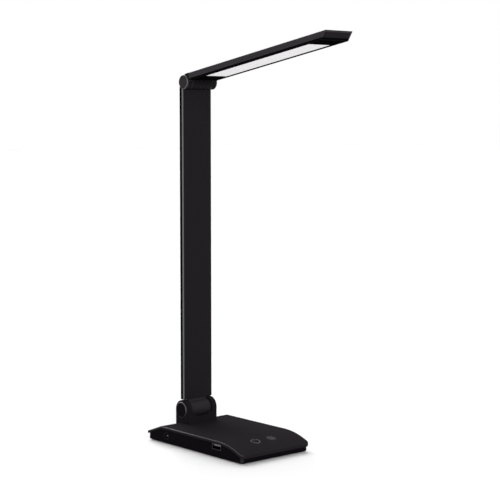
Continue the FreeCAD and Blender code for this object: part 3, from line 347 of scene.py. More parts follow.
@dataclass(frozen=True)
class LitDiffuser(Finish):
    """Opal sheet over the light guide, with fine prisms and brighter rows beside the LEDs."""

    glow: float = 0.66
    level: float = 0.86
    dimmest: float = 0.1
    body_tone: float = 0.5
    groove_tone: float = 0.94
    half_width: float = 14.0
    pitch: float = 0.9
    cloud_size: float = 22.0
    rim_power: int = 6
    rim_gain: float = 0.1
    prism_gain: float = 0.04
    cloud_gain: float = 0.05

    def paint(self, shader: Shader) -> bpy.types.Material:
        """Write the material's nodes; the prisms run along and across the head."""
        spot = shader.place(tilt=self.tilt)
        across, along = shader.waves(spot, self.pitch)
        prisms = (across * along).unit()
        side = shader.coordinate(spot, "X").math("ABSOLUTE") / self.half_width
        cloudy = shader.noise(spot, self.cloud_size)
        level = self.level + side ** self.rim_power * self.rim_gain
        level = level + prisms.swing() * self.prism_gain + cloudy.swing() * self.cloud_gain
        groove = self.shade(self.body_tone * self.groove_tone)
        return shader.surface({
            "Base Color": shader.blend(prisms, groove, self.shade(self.body_tone)),
            "Roughness": self.roughness + cloudy.swing() * self.spread,
            "Specular IOR Level": self.specular,
            "Emission Color": shader.blend(level, self.shade(self.dimmest), self.colour),
            "Emission Strength": self.glow,
            "Normal": shader.bump(prisms, self.grain_depth),
        })


@dataclass(frozen=True)
class ClearSheet(Finish):
    """Clear acrylic light guide with its grid of printed dots."""

    pitch: float = 2.4
    dot_band: Band = (0.55, 0.7)
    dot_gloss: float = 0.4
    dot_alpha: float = 0.6
    clear_alpha: float = 0.35
    clear_tone: float = 0.8
    fine_gloss: float = 0.03
    fine_height: float = 0.1

    def paint(self, shader: Shader) -> bpy.types.Material:
        """Write the material's nodes; the dots scatter the light out of the sheet."""
        spot = shader.place(tilt=self.tilt)
        across, along = shader.waves(spot, self.pitch)
        dots = (across * along).above(*self.dot_band)
        fine = shader.noise(spot, self.grain_size)
        return shader.surface({
            "Base Color": shader.blend(dots, self.shade(self.clear_tone), self.colour),
            "Roughness": self.roughness + dots * self.dot_gloss + fine * self.fine_gloss,
            "Specular IOR Level": self.specular,
            "Alpha": self.clear_alpha + dots * self.dot_alpha,
            "Normal": shader.bump(dots + fine * self.fine_height, self.grain_depth),
        })


@dataclass(frozen=True)
class PrintedBoard(Finish):
    """Solder mask over copper tracks that show as faint raised lines."""

    pitch: float = 3.2
    bend_size: float = 26.0
    bend_turns: float = 2.0
    track_band: Band = (0.75, 0.9)
    track_depth: float = 0.035
    track_tone: float = 0.8
    track_gloss: float = 0.08
    fine_tone: float = 0.2
    fine_height: float = 0.15
    copper_gain: float = 1.6
    copper_lift: float = 0.02

    def paint(self, shader: Shader) -> bpy.types.Material:
        """Write the material's nodes; the tracks follow a grid bent by noise."""
        spot = shader.place()
        bend = shader.noise(spot, self.bend_size, detail=1.0) * self.bend_turns
        across, along = (
            ((shader.coordinate(spot, axis) / self.pitch + bend) * math.tau).math("SINE")
            for axis in ("X", "Y")
        )
        tracks = across.math("MAXIMUM", along).above(*self.track_band)
        fine = shader.noise(spot, self.grain_size)
        tone = tracks * self.track_tone + fine * self.fine_tone
        copper = self.shade(self.copper_gain, self.copper_lift)
        return shader.surface({
            "Base Color": shader.blend(tone, self.colour, copper),
            "Roughness": self.roughness + fine * self.spread - tracks * self.track_gloss,
            "Specular IOR Level": self.specular,
            "Normal": shader.bump(tracks + fine * self.fine_height, self.track_depth),
        })


# The head's slope at rest, in degrees about X
HEAD_TILT = -9.46
PAD = RibbedRubber(
    "pad_rubber_ribbed", "pad_rubber", (0.02, 0.02, 0.02), roughness=0.8, specular=0.1,
)
TRAY = Finish(
    "tray_plastic_grained", "tray_plastic", (0.0062, 0.0052, 0.0063), roughness=0.62, specular=0.01,
)
# Painted highlight: a lighter copy of the tray plastic for the tray's upright corners, where light
# catches them
TRAY_CORNER_HIGHLIGHT = Finish(
    "tray_plastic_rubbed", "tray_plastic", (0.028, 0.0262, 0.0284), roughness=0.5, specular=0.05,
    fleck=0.006,
)
COVER = Finish(
    "cover_plastic_grained", "cover_plastic", (0.0252, 0.0216, 0.0257), roughness=0.6, specular=0.0,
    grain_depth=0.018,
)
# Painted highlight: a lighter, glossier copy of the cover plastic for the rounding of the cover's
# upper edge
COVER_EDGE_HIGHLIGHT = Finish(
    "cover_plastic_rubbed", "cover_plastic", (0.045, 0.042, 0.046), roughness=0.45, specular=0.12,
    fleck=0.01,
)
STEEL = Finish(
    "steel_zinc_plated", "steel", (0.5, 0.5, 0.51), roughness=0.34, specular=0.5, metallic=1.0,
    mottle=0.1, spread=0.16,
)
SCREW = Finish(
    "steel_blackened", "steel", (0.05, 0.05, 0.052), roughness=0.36, specular=0.5, metallic=0.9,
    mottle=0.15,
)
BALLAST = Finish(
    "ballast_steel_rolled", "ballast_steel", (0.3, 0.3, 0.31), roughness=0.5, specular=0.5,
    metallic=1.0, grain=Grain.LENGTHWISE,
)
BOARD = PrintedBoard(
    "circuit_board_masked", "circuit_board", (0.01, 0.11, 0.04), roughness=0.35, specular=0.5,
)
SOCKET = Finish(
    "socket_steel_dark", "socket_steel", (0.085, 0.085, 0.088), roughness=0.3, specular=0.5,
    metallic=1.0, mottle=0.12,
)
TONGUE = Finish(
    "socket_plastic_moulded", "socket_plastic", (0.22, 0.22, 0.215), roughness=0.45, specular=0.2,
    mottle=0.08,
)
INLET = Finish(
    "inlet_plastic_moulded", "inlet_plastic", (0.007, 0.007, 0.0075), roughness=0.5, specular=0.05,
)
BRASS = Finish(
    "contact_brass_plated", "contact_brass", (0.72, 0.55, 0.26), roughness=0.24, specular=0.5,
    metallic=1.0, mottle=0.1,
)
PIN = Finish(
    "contact_brass_nickelled", "contact_brass", (0.14, 0.135, 0.13), roughness=0.3, specular=0.5,
    metallic=1.0, mottle=0.1,
)
HINGE = Finish(
    "hinge_metal_black", "hinge_metal", (0.0125, 0.0108, 0.0128), roughness=0.42, specular=0.02,
    grain=Grain.ACROSS,
)
# Painted light: a lighter copy of the hinge metal for the lower knuckle, standing in for the
# highlight on its barrel
KNUCKLE_PAINTED_LIGHT = Finish(
    "hinge_metal_satin", "hinge_metal", (0.03, 0.026, 0.0306), roughness=0.38, specular=0.06,
    grain=Grain.ACROSS,
)
YOKE = Finish(
    "hinge_metal_matt", "hinge_metal", (0.0175, 0.015, 0.0179), roughness=0.6, specular=0.01,
)
# Edge wear with painted highlight: a lighter, partly metallic copy of the hinge metal for rounded
# edges
HINGE_EDGE_WEAR_AND_HIGHLIGHT = Finish(
    "hinge_metal_worn_edge", "hinge_metal", (0.024, 0.022, 0.0245), roughness=0.35, specular=0.3,
    metallic=0.3, fleck=0.008,
)
CAP = Finish(
    "cap_plastic_satin", "cap_plastic", (0.029, 0.026, 0.0296), roughness=0.45, specular=0.06,
)
# Painted shade: a darker copy of the cap plastic for the lower caps
CAP_PAINTED_SHADE = Finish(
    "cap_plastic_dark", "cap_plastic", (0.008, 0.0068, 0.0082), roughness=0.6, specular=0.01,
)
# Painted highlight: a bright, partly metallic copy of the cap plastic for the caps' rims
CAP_RIM_HIGHLIGHT = Finish(
    "cap_plastic_bright_rim", "cap_plastic", (0.085, 0.083, 0.087), roughness=0.32, specular=0.5,
    metallic=0.6, fleck=0.015,
)
WASHER = Finish(
    "washer_plastic_filled", "washer_plastic", (0.03, 0.03, 0.03), roughness=0.5, specular=0.2,
)
POST = Finish(
    "post_aluminium_black", "post_aluminium", (0.0152, 0.0127, 0.0155), roughness=0.5,
    specular=0.04, grain=Grain.UPRIGHT,
)
# Painted shade: a darker copy of the post aluminium for the post's narrow sides
POST_SIDE_SHADE = Finish(
    "post_aluminium_sides", "post_aluminium", (0.0028, 0.0023, 0.0029), roughness=0.6,
    specular=0.005, grain=Grain.UPRIGHT,
)
# Painted highlight: a bright metallic copy of the post aluminium for the long chamfers, standing in
# for the stripe of light on them
POST_CHAMFER_HIGHLIGHT = Finish(
    "post_aluminium_cut_edge", "post_aluminium", (0.105, 0.104, 0.108), roughness=0.32,
    specular=0.5, metallic=1.0, grain=Grain.UPRIGHT, fleck=0.01,
)
LEAD = Finish("lead_sheath_soft", "lead_sheath", (0.02, 0.02, 0.02), roughness=0.6, specular=0.2)
HOUSING = Finish(
    "head_aluminium_brushed", "head_aluminium", (0.034, 0.0302, 0.0346), roughness=0.46,
    specular=0.08, grain=Grain.LENGTHWISE, tilt=HEAD_TILT, grain_size=0.8, mottle=0.6,
)
# Edge wear with painted highlight: a lighter, partly metallic copy of the head aluminium for rounded
# edges
HOUSING_EDGE_WEAR_AND_HIGHLIGHT = Finish(
    "head_aluminium_worn_edge", "head_aluminium", (0.06, 0.059, 0.062), roughness=0.36,
    specular=0.4, metallic=0.6, grain=Grain.LENGTHWISE, tilt=HEAD_TILT,
)
FRAME = Finish(
    "frame_plastic_black", "frame_plastic", (0.004, 0.0038, 0.0043), roughness=0.6, specular=0.0,
)
# Edge wear with painted highlight: a lighter copy of the frame plastic for rounded edges
FRAME_EDGE_WEAR_AND_HIGHLIGHT = Finish(
    "frame_plastic_rubbed", "frame_plastic", (0.01, 0.0097, 0.0105), roughness=0.5, specular=0.02,
)
END_CAP = Finish(
    "end_cap_plastic", "frame_plastic", (0.016, 0.0137, 0.0163), roughness=0.55, specular=0.03,
)
DIFFUSER = LitDiffuser(
    "diffuser_plastic_lit", "diffuser_plastic", (0.9, 0.885, 0.9), roughness=0.5, specular=0.1,
    tilt=HEAD_TILT,
)
GUIDE = ClearSheet(
    "guide_acrylic_dotted", "guide_acrylic", (0.9, 0.92, 0.92), roughness=0.08, specular=0.5,
    tilt=HEAD_TILT,
)
REFLECTOR = Finish(
    "reflector_film_white", "reflector_film", (0.88, 0.88, 0.88), roughness=0.4, specular=0.4,
    mottle=0.04,
)
LED_BOARD = Finish(
    "led_board_white", "led_board", (0.8, 0.8, 0.79), roughness=0.4, specular=0.4, mottle=0.04,
)
LED_CHIP = Finish(
    "led_chip_phosphor", "led_chip", (0.9, 0.78, 0.36), roughness=0.35, specular=0.4, mottle=0.06,
)
INK = Finish(
    "touch_ink_grey", "cover_plastic", (0.085, 0.084, 0.087), roughness=0.6, specular=0.05,
    mottle=0.1, grain_depth=0.006,
)


@dataclass
class Bench:
    """Adds finished pieces to the scene and dresses the solids that stay in view.

    Lengths are in millimetres and angles in degrees.
    """

    weld_gap: float = 0.002
    flat_angle: float = 0.4
    crease_angle: float = 35.0
    bevel_segments: int = 2

    def dress(self, node: str, *finishes: Finish, width: float = 0.0, limit: float = 28.0,
              edge_slot: int = 0, pick: Optional[Picker] = None) -> None:
        """Give a solid its finishes and softened edges.

        Args:
            node: the solid's name.
            finishes: the finish of its faces, and those of its other slots.
            width: how far the edges are rounded, in millimetres, or 0 to leave them.
            limit: the smallest angle of an edge that is rounded or shaded sharp, in degrees.
            edge_slot: which of the finishes the rounded edges take.
            pick: tells which of the finishes each of the solid's own faces takes.
        """
        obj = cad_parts[node]
        mesh = obj.data
        mesh.materials.clear()
        for finish in finishes:
            mesh.materials.append(finish.material())
        for face in mesh.polygons:
            face.use_smooth = True
            face.material_index = pick(face) if pick is not None else 0
        self.soften(obj, width, limit, edge_slot)
        log.info("dressed %s in %s", node, finishes[0].name)

    def soften(self, obj: bpy.types.Object, width: float, limit: float, edge_slot: int) -> None:
        """Join a mesh's split faces, round its edges and keep its flat faces flat.

        Args:
            obj: the piece.
            width: how far the edges are rounded, in millimetres, or 0 to leave them.
            limit: the smallest angle of an edge that counts, in degrees.
            edge_slot: the material slot of the rounded edges.
        """
        normals = obj.data.attributes.get("custom_normal")
        if normals is not None:
            obj.data.attributes.remove(normals)
        weld = obj.modifiers.new("joined_faces", "WELD")
        weld.merge_threshold = self.weld_gap * MM
        flat = obj.modifiers.new("flat_faces", "DECIMATE")
        flat.decimate_type = "DISSOLVE"
        flat.angle_limit = math.radians(self.flat_angle)
        flat.delimit = {"MATERIAL"}
        if width:
            bevel = obj.modifiers.new("rounded_edges", "BEVEL")
            bevel.width = width * MM
            bevel.segments = self.bevel_segments
            bevel.limit_method = "ANGLE"
            bevel.angle_limit = math.radians(limit)
            bevel.use_clamp_overlap = False
            bevel.material = edge_slot
        else:
            split = obj.modifiers.new("sharp_edges", "EDGE_SPLIT")
            split.split_angle = math.radians(limit)
        even = obj.modifiers.new("flat_shading", "WEIGHTED_NORMAL")
        even.keep_sharp = True

    def add(self, name: str, mesh: bmesh.types.BMesh, body: Body, finish: Finish,
            replaced: Sequence[str] = ()) -> None:
        """Add a new piece that rides on a body.

        Args:
            name: the piece's name.
            mesh: its faces, which are freed.
            body: what it moves with.
            finish: its finish.
            replaced: the solids that it stands for.
        """
        data = bpy.data.meshes.new(name)
        bmesh.ops.recalc_face_normals(mesh, faces=mesh.faces)
        mesh.to_mesh(data)
        mesh.free()
        data.materials.append(finish.material())
        obj = bpy.data.objects.new(name, data)
        bpy.context.scene.collection.objects.link(obj)
        for face in data.polygons:
            face.use_smooth = True
        self.soften(obj, width=0.0, limit=self.crease_angle, edge_slot=0)
        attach(obj, body.value)
        if replaced:
            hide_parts(*replaced)
        log.info("made %s in %s", name, finish.name)


class Shapes:
    """Mesh forms that several pieces share; all lengths are in millimetres."""

    @staticmethod
    def skin(mesh: bmesh.types.BMesh, rows: Sequence[Ring], looped: bool = False) -> None:
        """Join loops of vertices that follow one another.

        Args:
            mesh: where the faces go.
            rows: the loops, all with as many vertices.
            looped: whether the last joins the first; otherwise both ends stay open.
        """
        pairs = list(zip(rows, rows[1:]))
        if looped:
            pairs.append((rows[-1], rows[0]))
        for near, far in pairs:
            for i in range(len(near)):
                after = (i + 1) % len(near)
                mesh.faces.new((near[i], near[after], far[after], far[i]))

    @staticmethod
    def cap_ends(mesh: bmesh.types.BMesh, rows: Sequence[Ring]) -> None:
        """Close the first and the last of a skin's loops."""
        for end in (rows[0], rows[-1]):
            mesh.faces.new(end)

    @staticmethod
    def lathe(mesh: bmesh.types.BMesh, profile: Sequence[tuple[float, float]], turn: Matrix,
              steps: int = 48, looped: bool = False) -> list[Ring]:
        """Turn a profile of (height, radius) round Z.

        Args:
            mesh: where the faces go.
            profile: its points, in order.
            turn: places the form, in millimetres.
            steps: sides of each ring.
            looped: whether the profile's end joins its start.

        Returns:
            The rings of vertices.
        """
        angles = [math.tau * i / steps for i in range(steps)]
        ways = [(math.cos(angle), math.sin(angle)) for angle in angles]
        rings = []
        for height, radius in profile:
            spots = [Vector((radius * x, radius * y, height)) for x, y in ways]
            rings.append([mesh.verts.new((turn @ spot) * MM) for spot in spots])
        Shapes.skin(mesh, rings, looped)
        return rings

    @staticmethod
    def cross_recess(mesh: bmesh.types.BMesh, ring: Ring, reach: float, half: float, height: float,
                     depth: float, turn: Matrix, taper: float = 0.7) -> None:
        """Close a ring with a flat top that has a cross-shaped recess.

        Args:
            mesh: where the faces go.
            ring: the top's rim.
            reach: from the middle to the end of an arm.
            half: half the width of an arm.
            height: where the top lies.
            depth: of the recess.
            turn: places the form, in millimetres.
            taper: the recess's size at its floor, as a share of its size at the top.
        """
        corner = [(reach, -half), (reach, half), (half, half)]
        spots = [Matrix.Rotation(math.radians(90 * quarter), 2) @ Vector(spot)
                 for quarter in range(4) for spot in corner]
        floor = height - depth
        upper = [mesh.verts.new((turn @ Vector((*spot, height))) * MM) for spot in spots]
        lower = [mesh.verts.new((turn @ Vector((*(spot * taper), floor))) * MM) for spot in spots]
        rim = [mesh.edges.get(pair) for pair in zip(ring, ring[1:] + ring[:1])]
        arms = [mesh.edges.new(pair) for pair in zip(upper, upper[1:] + upper[:1])]
        bmesh.ops.triangle_fill(mesh, use_beauty=True, edges=rim + arms)
        Shapes.skin(mesh, (upper, lower))
        mesh.faces.new(lower)

    @staticmethod
    def strip(mesh: bmesh.types.BMesh, path: Sequence[Vector], side: Vector, thick: Vector) -> None:
        """Add a bent strip of sheet metal.

        Args:
            mesh: where the faces go.
            path: the middle of the strip's upper face.
            side: from the middle to the strip's edge.
            thick: from the upper to the lower face.
        """
        rows = []
        for spot in path:
            corners = (spot - side, spot + side, spot + side + thick, spot - side + thick)
            rows.append([mesh.verts.new(corner * MM) for corner in corners])
        Shapes.skin(mesh, rows)
        Shapes.cap_ends(mesh, rows)


def turned_to_x(low: float, high: float) -> Picker:
    """Return a picker that gives 1 where a normal's share of X lies in a band, and 0 elsewhere."""
    return lambda face: int(low < abs(face.normal.x) < high)


@dataclass
class TouchMarks:
    """Two printed marks on the curved front of the cover: a power sign and a dimmer sign.

    The stem, the beams and the dimmer's ring are given as shares of a mark's radius.
    """

    bench: Bench
    base_length: float = 150.0
    cover_top: float = 17.3
    front_run: float = 37.5
    front_radius: float = 84.0
    spacing: float = 20.6
    setback: float = 19.7
    radius: float = 4.5
    stroke: float = 1.05
    lift: float = 0.03
    sink: float = 0.05
    arc_step: float = 6.0
    ray_steps: int = 6
    power_gap: float = 38.0
    power_stem: Band = (0.3, 1.12)
    dimmer_ring: float = 0.42
    dimmer_beam: Band = (0.72, 1.12)
    dimmer_beams: int = 8

    def on_cover(self, x: float, y: float, level: float) -> Vector:
        """Return the place, in metres, at a level over the curved front and above a point in plan."""
        run = y - (self.front_run - self.base_length / 2)
        z = self.cover_top - self.front_radius + math.sqrt(self.front_radius**2 - run**2)
        return Vector((x, y, z + level)) * MM

    def line(self, mesh: bmesh.types.BMesh, centre: Vector, spots: Sequence[Vector]) -> None:
        """Print a line of the stroke's width, as a thin closed layer of ink.

        Args:
            mesh: where the faces go.
            centre: the middle of the mark in plan.
            spots: the line's points from that middle; if the last meets the first, it is a ring.
        """
        looped = (spots[-1] - spots[0]).length < self.stroke
        path = spots[:-1] if looped else spots
        last = len(path) - 1
        rows = []
        for i, spot in enumerate(path):
            after = path[(i + 1) % len(path)] if looped else path[min(i + 1, last)]
            before = path[i - 1] if looped else path[max(i - 1, 0)]
            ahead = after - before
            across = Vector((-ahead.y, ahead.x)).normalized() * self.stroke / 2
            corners = ((-1, self.lift), (1, self.lift), (1, -self.sink), (-1, -self.sink))
            rows.append([mesh.verts.new(self.on_cover(*(centre + spot + across * way), level))
                         for way, level in corners])
        Shapes.skin(mesh, rows, looped)
        if not looped:
            Shapes.cap_ends(mesh, rows)

    def arc(self, radius: float, start: float, end: float) -> list[Vector]:
        """Return points along an arc, with angles in degrees from straight back."""
        count = max(2, round(abs(end - start) / self.arc_step))
        turns = [math.radians(start + (end - start) * i / count) for i in range(count + 1)]
        return [Vector((radius * math.sin(turn), radius * math.cos(turn))) for turn in turns]

    def ray(self, span: Band, turn: float) -> list[Vector]:
        """Return the points of a straight stroke out from the middle."""
        inner, outer = (self.radius * share for share in span)
        out = Vector((math.sin(math.radians(turn)), math.cos(math.radians(turn))))
        step = outer - inner
        return [out * (inner + step * i / self.ray_steps) for i in range(self.ray_steps + 1)]

    def lines(self, mark: Mark) -> list[list[Vector]]:
        """Return the strokes of a mark, from its middle."""
        if mark is Mark.POWER:
            arc = self.arc(self.radius, self.power_gap, FULL_TURN - self.power_gap)
            return [arc, self.ray(self.power_stem, 0.0)]
        turns = [FULL_TURN * i / self.dimmer_beams for i in range(self.dimmer_beams)]
        ring = self.arc(self.radius * self.dimmer_ring, 0.0, FULL_TURN)
        return [ring] + [self.ray(self.dimmer_beam, turn) for turn in turns]

    def build(self) -> None:
        """Print both marks."""
        for mark in Mark:
            mesh = bmesh.new()
            across = self.spacing / 2 * mark.value
            centre = Vector((across, self.setback - self.base_length / 2))
            for line in self.lines(mark):
                self.line(mesh, centre, line)
            self.bench.add(f"touch_{mark.name.lower()}_mark", mesh, Body.BASE, INK)


@dataclass
class Sockets:
    """USB-A socket and DC inlet in the left wall, with the contacts inside them.

    A bend is a place along the plug's way and how far the strip stands off there. The bezel's
    profile has shares of its height, and distances out from the bore or in from the rim.
    """

    bench: Bench
    contact_places: tuple[float, ...] = (-3.5, -1.0, 1.0, 3.5)
    contact_half: float = 0.5
    contact_thick: float = 0.15
    contact_start: float = 0.7
    contact_bends: Profile = ((0.0, -0.02), (0.6, 0.1), (3.75, 0.16), (7.5, 0.02))
    spring_offset: float = 3.2
    spring_half: float = 1.0
    spring_thick: float = 0.2
    spring_bends: Profile = ((0.9, 0.35), (2.4, 0.9), (3.6, 0.9), (5.5, 0.34))
    bore: float = 2.85
    rim: float = 4.2
    bezel_proud: float = 0.35
    bezel_inner: Profile = ((0.0, 0.0), (0.4, 0.05), (0.85, 0.25), (1.0, 0.5))
    bezel_outer: Profile = ((1.0, 0.4), (0.8, 0.12), (0.0, 0.0))
    tip_share: float = 0.7
    tip_steps: int = 6
    tip_sides: int = 24

    def build(self) -> None:
        """Dress the sockets' solids and add what is inside them."""
        self.bench.dress("usb_shell", SOCKET, width=0.08)
        self.bench.dress("usb_tongue", TONGUE, width=0.15)
        self.bench.dress("dc_inlet", INLET, width=0.1)
        self.bench.dress("dc_inlet_pin", PIN, width=0.1)
        self.usb_contacts()
        self.usb_springs()
        self.inlet_bezel()
        self.pin_tip()

    def usb_contacts(self) -> None:
        """Four plated contacts under the tongue, each with a turned-up nose."""
        low, high = (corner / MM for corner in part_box("usb_tongue"))
        mesh = bmesh.new()
        start = low.x + self.contact_start
        side, thick = Vector((0, self.contact_half, 0)), Vector((0, 0, -self.contact_thick))
        for place in self.contact_places:
            y = (low.y + high.y) / 2 + place
            path = [Vector((start + along, y, low.z - drop)) for along, drop in self.contact_bends]
            Shapes.strip(mesh, path, side, thick)
        self.bench.add("usb_contacts", mesh, Body.BASE, BRASS)

    def usb_springs(self) -> None:
        """Two springs pressed out of the shell's lower wall."""
        low, high = (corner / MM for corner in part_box("usb_shell"))
        mesh = bmesh.new()
        side, thick = Vector((0, self.spring_half, 0)), Vector((0, 0, -self.spring_thick))
        for way in (-1, 1):
            y = (low.y + high.y) / 2 + way * self.spring_offset
            path = [Vector((low.x + along, y, low.z + rise)) for along, rise in self.spring_bends]
            Shapes.strip(mesh, path, side, thick)
        self.bench.add("usb_springs", mesh, Body.BASE, SOCKET)

    def inlet_axis(self, node: str) -> Matrix:
        """Return a place at the mouth of a round solid, with Z pointing out of the wall."""
        low, high = (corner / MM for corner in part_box(node))
        middle = Vector((low.x, (low.y + high.y) / 2, (low.z + high.z) / 2))
        return Matrix.Translation(middle) @ Matrix.Rotation(math.radians(-90), 4, "Y")

    def inlet_bezel(self) -> None:
        """Rounded rim round the inlet's bore."""
        mesh = bmesh.new()
        proud = self.bezel_proud
        profile = [(proud * share, self.bore + out) for share, out in self.bezel_inner]
        profile += [(proud * share, self.rim - back) for share, back in self.bezel_outer]
        Shapes.lathe(mesh, profile, self.inlet_axis("dc_inlet"), looped=True)
        self.bench.add("dc_inlet_bezel", mesh, Body.BASE, INLET)

    def pin_tip(self) -> None:
        """Rounded end of the inlet's pin."""
        mesh = bmesh.new()
        low, high = (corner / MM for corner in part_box("dc_inlet_pin"))
        radius = (high.z - low.z) / 2
        long = radius * self.tip_share
        turns = [math.radians(90 * i / self.tip_steps) for i in range(self.tip_steps)]
        profile = [(long * math.sin(turn), radius * math.cos(turn)) for turn in turns]
        rings = Shapes.lathe(mesh, profile, self.inlet_axis("dc_inlet_pin"), self.tip_sides)
        Shapes.cap_ends(mesh, rings)
        self.bench.add("dc_inlet_pin_tip", mesh, Body.BASE, PIN)


@dataclass
class Base:
    """The ballasted base: cover, sockets, touch marks and the lower hinge's fixed half."""

    bench: Bench
    rim_band: float = 0.12
    corner_band: float = 0.25
    ear_edge: Band = (0.12, 0.97)
    cap_rim: Band = (0.12, 0.88)

    def on_cover_edge(self, face: bpy.types.MeshPolygon) -> int:
        """Return 1 for a face on the rounding of the cover's upper edge, which takes the painted
        highlight, and 0 elsewhere.
        """
        turned = max(abs(face.normal.x), abs(face.normal.y))
        rounded = self.rim_band < turned < 1 - self.rim_band
        return int(rounded and min(abs(face.normal.x), abs(face.normal.z)) > self.rim_band)

    def on_tray_corner(self, face: bpy.types.MeshPolygon) -> int:
        """Return 1 for a face of the tray's upright corners, which take the painted highlight, and 0
        elsewhere.
        """
        return int(min(abs(face.normal.x), abs(face.normal.y)) > self.corner_band)

    def build(self) -> None:
        """Dress the base's solids and add its small pieces."""
        dress = self.bench.dress
        dress("base_pad", PAD, width=0.15)
        # The tray's upright corners take the painted highlight
        dress("base_tray", TRAY, TRAY_CORNER_HIGHLIGHT, pick=self.on_tray_corner)
        # The rounding of the cover's upper edge takes the painted highlight
        dress("base_cover", COVER, COVER_EDGE_HIGHLIGHT, limit=19.0, pick=self.on_cover_edge)
        for node in ("base_screws", "board_screws", "yoke_screws",
                     "lower_shaft", "lower_spring", "lower_nut"):
            dress(node, STEEL, width=0.1)
        dress("ballast_plate", BALLAST, width=0.25)
        dress("control_board", BOARD, width=0.1)
        dress("touch_electrodes", BRASS, width=0.05)
        dress("hinge_yoke", YOKE, HINGE, pick=turned_to_x(*self.ear_edge))
        # The lower caps take painted shade on their faces and the painted highlight on their rims
        dress("lower_caps", CAP_PAINTED_SHADE, CAP_RIM_HIGHLIGHT, width=0.1, limit=ROUND_LIMIT, edge_slot=1,
              pick=turned_to_x(*self.cap_rim))
        Sockets(self.bench).build()
        TouchMarks(self.bench).build()


@dataclass
class Post:
    """The flat post with a knuckle at each end and the screws that hold them.

    A screw head's profile and recess are shares of the head's height and radius.
    """

    bench: Bench
    slant_low: float = 0.5
    slant_high: float = 0.9
    cap_rim: Band = (0.25, 0.9)
    head_radius: float = 2.2
    head_height: float = 0.9
    head_sides: int = 40
    head_profile: Profile = ((0.0, 0.98), (0.35, 1.0), (0.65, 0.94), (0.9, 0.78), (1.0, 0.6))
    shank_radius: float = 1.2
    recess_reach: float = 0.48
    recess_half: float = 0.12
    recess_depth: float = 0.6

    def post_face(self, face: bpy.types.MeshPolygon) -> int:
        """Return 1 for a face of the long chamfers (painted highlight), 2 for the narrow sides
        (painted shade) and 0 elsewhere.
        """
        turned = abs(face.normal.x)
        return int(turned > self.slant_low) + int(turned > self.slant_high)

    def build(self) -> None:
        """Dress the post's solids and make its screws."""
        dress = self.bench.dress
        # The lower knuckle takes a lighter copy of the hinge metal as painted light
        dress("lower_knuckle", KNUCKLE_PAINTED_LIGHT, HINGE_EDGE_WEAR_AND_HIGHLIGHT, width=0.35, limit=ROUND_LIMIT, edge_slot=1)
        dress("upper_knuckle", HINGE, HINGE_EDGE_WEAR_AND_HIGHLIGHT, width=0.3, limit=ROUND_LIMIT, edge_slot=1)
        for node in ("lower_washers", "upper_washers"):
            dress(node, WASHER, width=0.08)
        # The long chamfers take a painted highlight and the narrow sides a painted shade
        dress("post_tube", POST, POST_CHAMFER_HIGHLIGHT, POST_SIDE_SHADE, width=0.12, limit=ROUND_LIMIT, edge_slot=2,
              pick=self.post_face)
        dress("post_lead", LEAD, width=0.4)
        dress("upper_shaft", STEEL, width=0.15)
        # The upper caps' rims take the painted highlight
        dress("upper_caps", CAP, CAP_RIM_HIGHLIGHT, width=0.12, limit=ROUND_LIMIT, edge_slot=1,
              pick=turned_to_x(*self.cap_rim))
        self.screws()

    def screws(self) -> None:
        """Four pan-head screws with cross recesses at the rear of the post."""
        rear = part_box("post_tube")[1].y / MM
        low, high = (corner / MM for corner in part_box("post_screws"))
        mesh = bmesh.new()
        top, radius = self.head_height, self.head_radius
        reach, half = radius * self.recess_reach, radius * self.recess_half
        depth = top * self.recess_depth
        profile = [(low.y - rear, self.shank_radius), (0.0, self.shank_radius)]
        profile += [(top * up, radius * out) for up, out in self.head_profile]
        for z in (low.z + radius, high.z - radius):
            for x in (low.x + radius, high.x - radius):
                turn = Matrix.Translation(Vector((x, rear, z)))
                turn = turn @ Matrix.Rotation(math.radians(-90), 4, "X")
                rings = Shapes.lathe(mesh, profile, turn, self.head_sides)
                mesh.faces.new(rings[0])
                Shapes.cross_recess(mesh, rings[-1], reach, half, top, depth, turn)
        self.bench.add("post_screw_heads", mesh, Body.POST, SCREW, ("post_screws",))


@dataclass
class Head:
    """The thin lit head: bracket, brushed housing, frame, end cap and the optics inside."""

    bench: Bench
    edge_width: float = 0.16

    def build(self) -> None:
        """Dress the head's solids."""
        dress = self.bench.dress
        # The bracket's rounded edges take edge wear with painted highlight
        dress("head_bracket", HINGE, HINGE_EDGE_WEAR_AND_HIGHLIGHT, width=0.25, limit=ROUND_LIMIT, edge_slot=1)
        dress("bracket_screws", STEEL, width=0.1)
        # The housing's rounded edges take edge wear with painted highlight
        dress("head_housing", HOUSING, HOUSING_EDGE_WEAR_AND_HIGHLIGHT, width=self.edge_width, edge_slot=1)
        # The frame's and end cap's rounded edges take edge wear with painted highlight
        dress("head_frame", FRAME, FRAME_EDGE_WEAR_AND_HIGHLIGHT, width=self.edge_width, edge_slot=1)
        dress("head_end_cap", END_CAP, FRAME_EDGE_WEAR_AND_HIGHLIGHT, width=self.edge_width, edge_slot=1)
        dress("diffuser", DIFFUSER, width=0.1)
        dress("light_guide", GUIDE, width=0.1)
        dress("reflector", REFLECTOR, width=0.05)
        dress("led_boards", LED_BOARD, width=0.08)
        dress("leds", LED_CHIP, width=0.08)


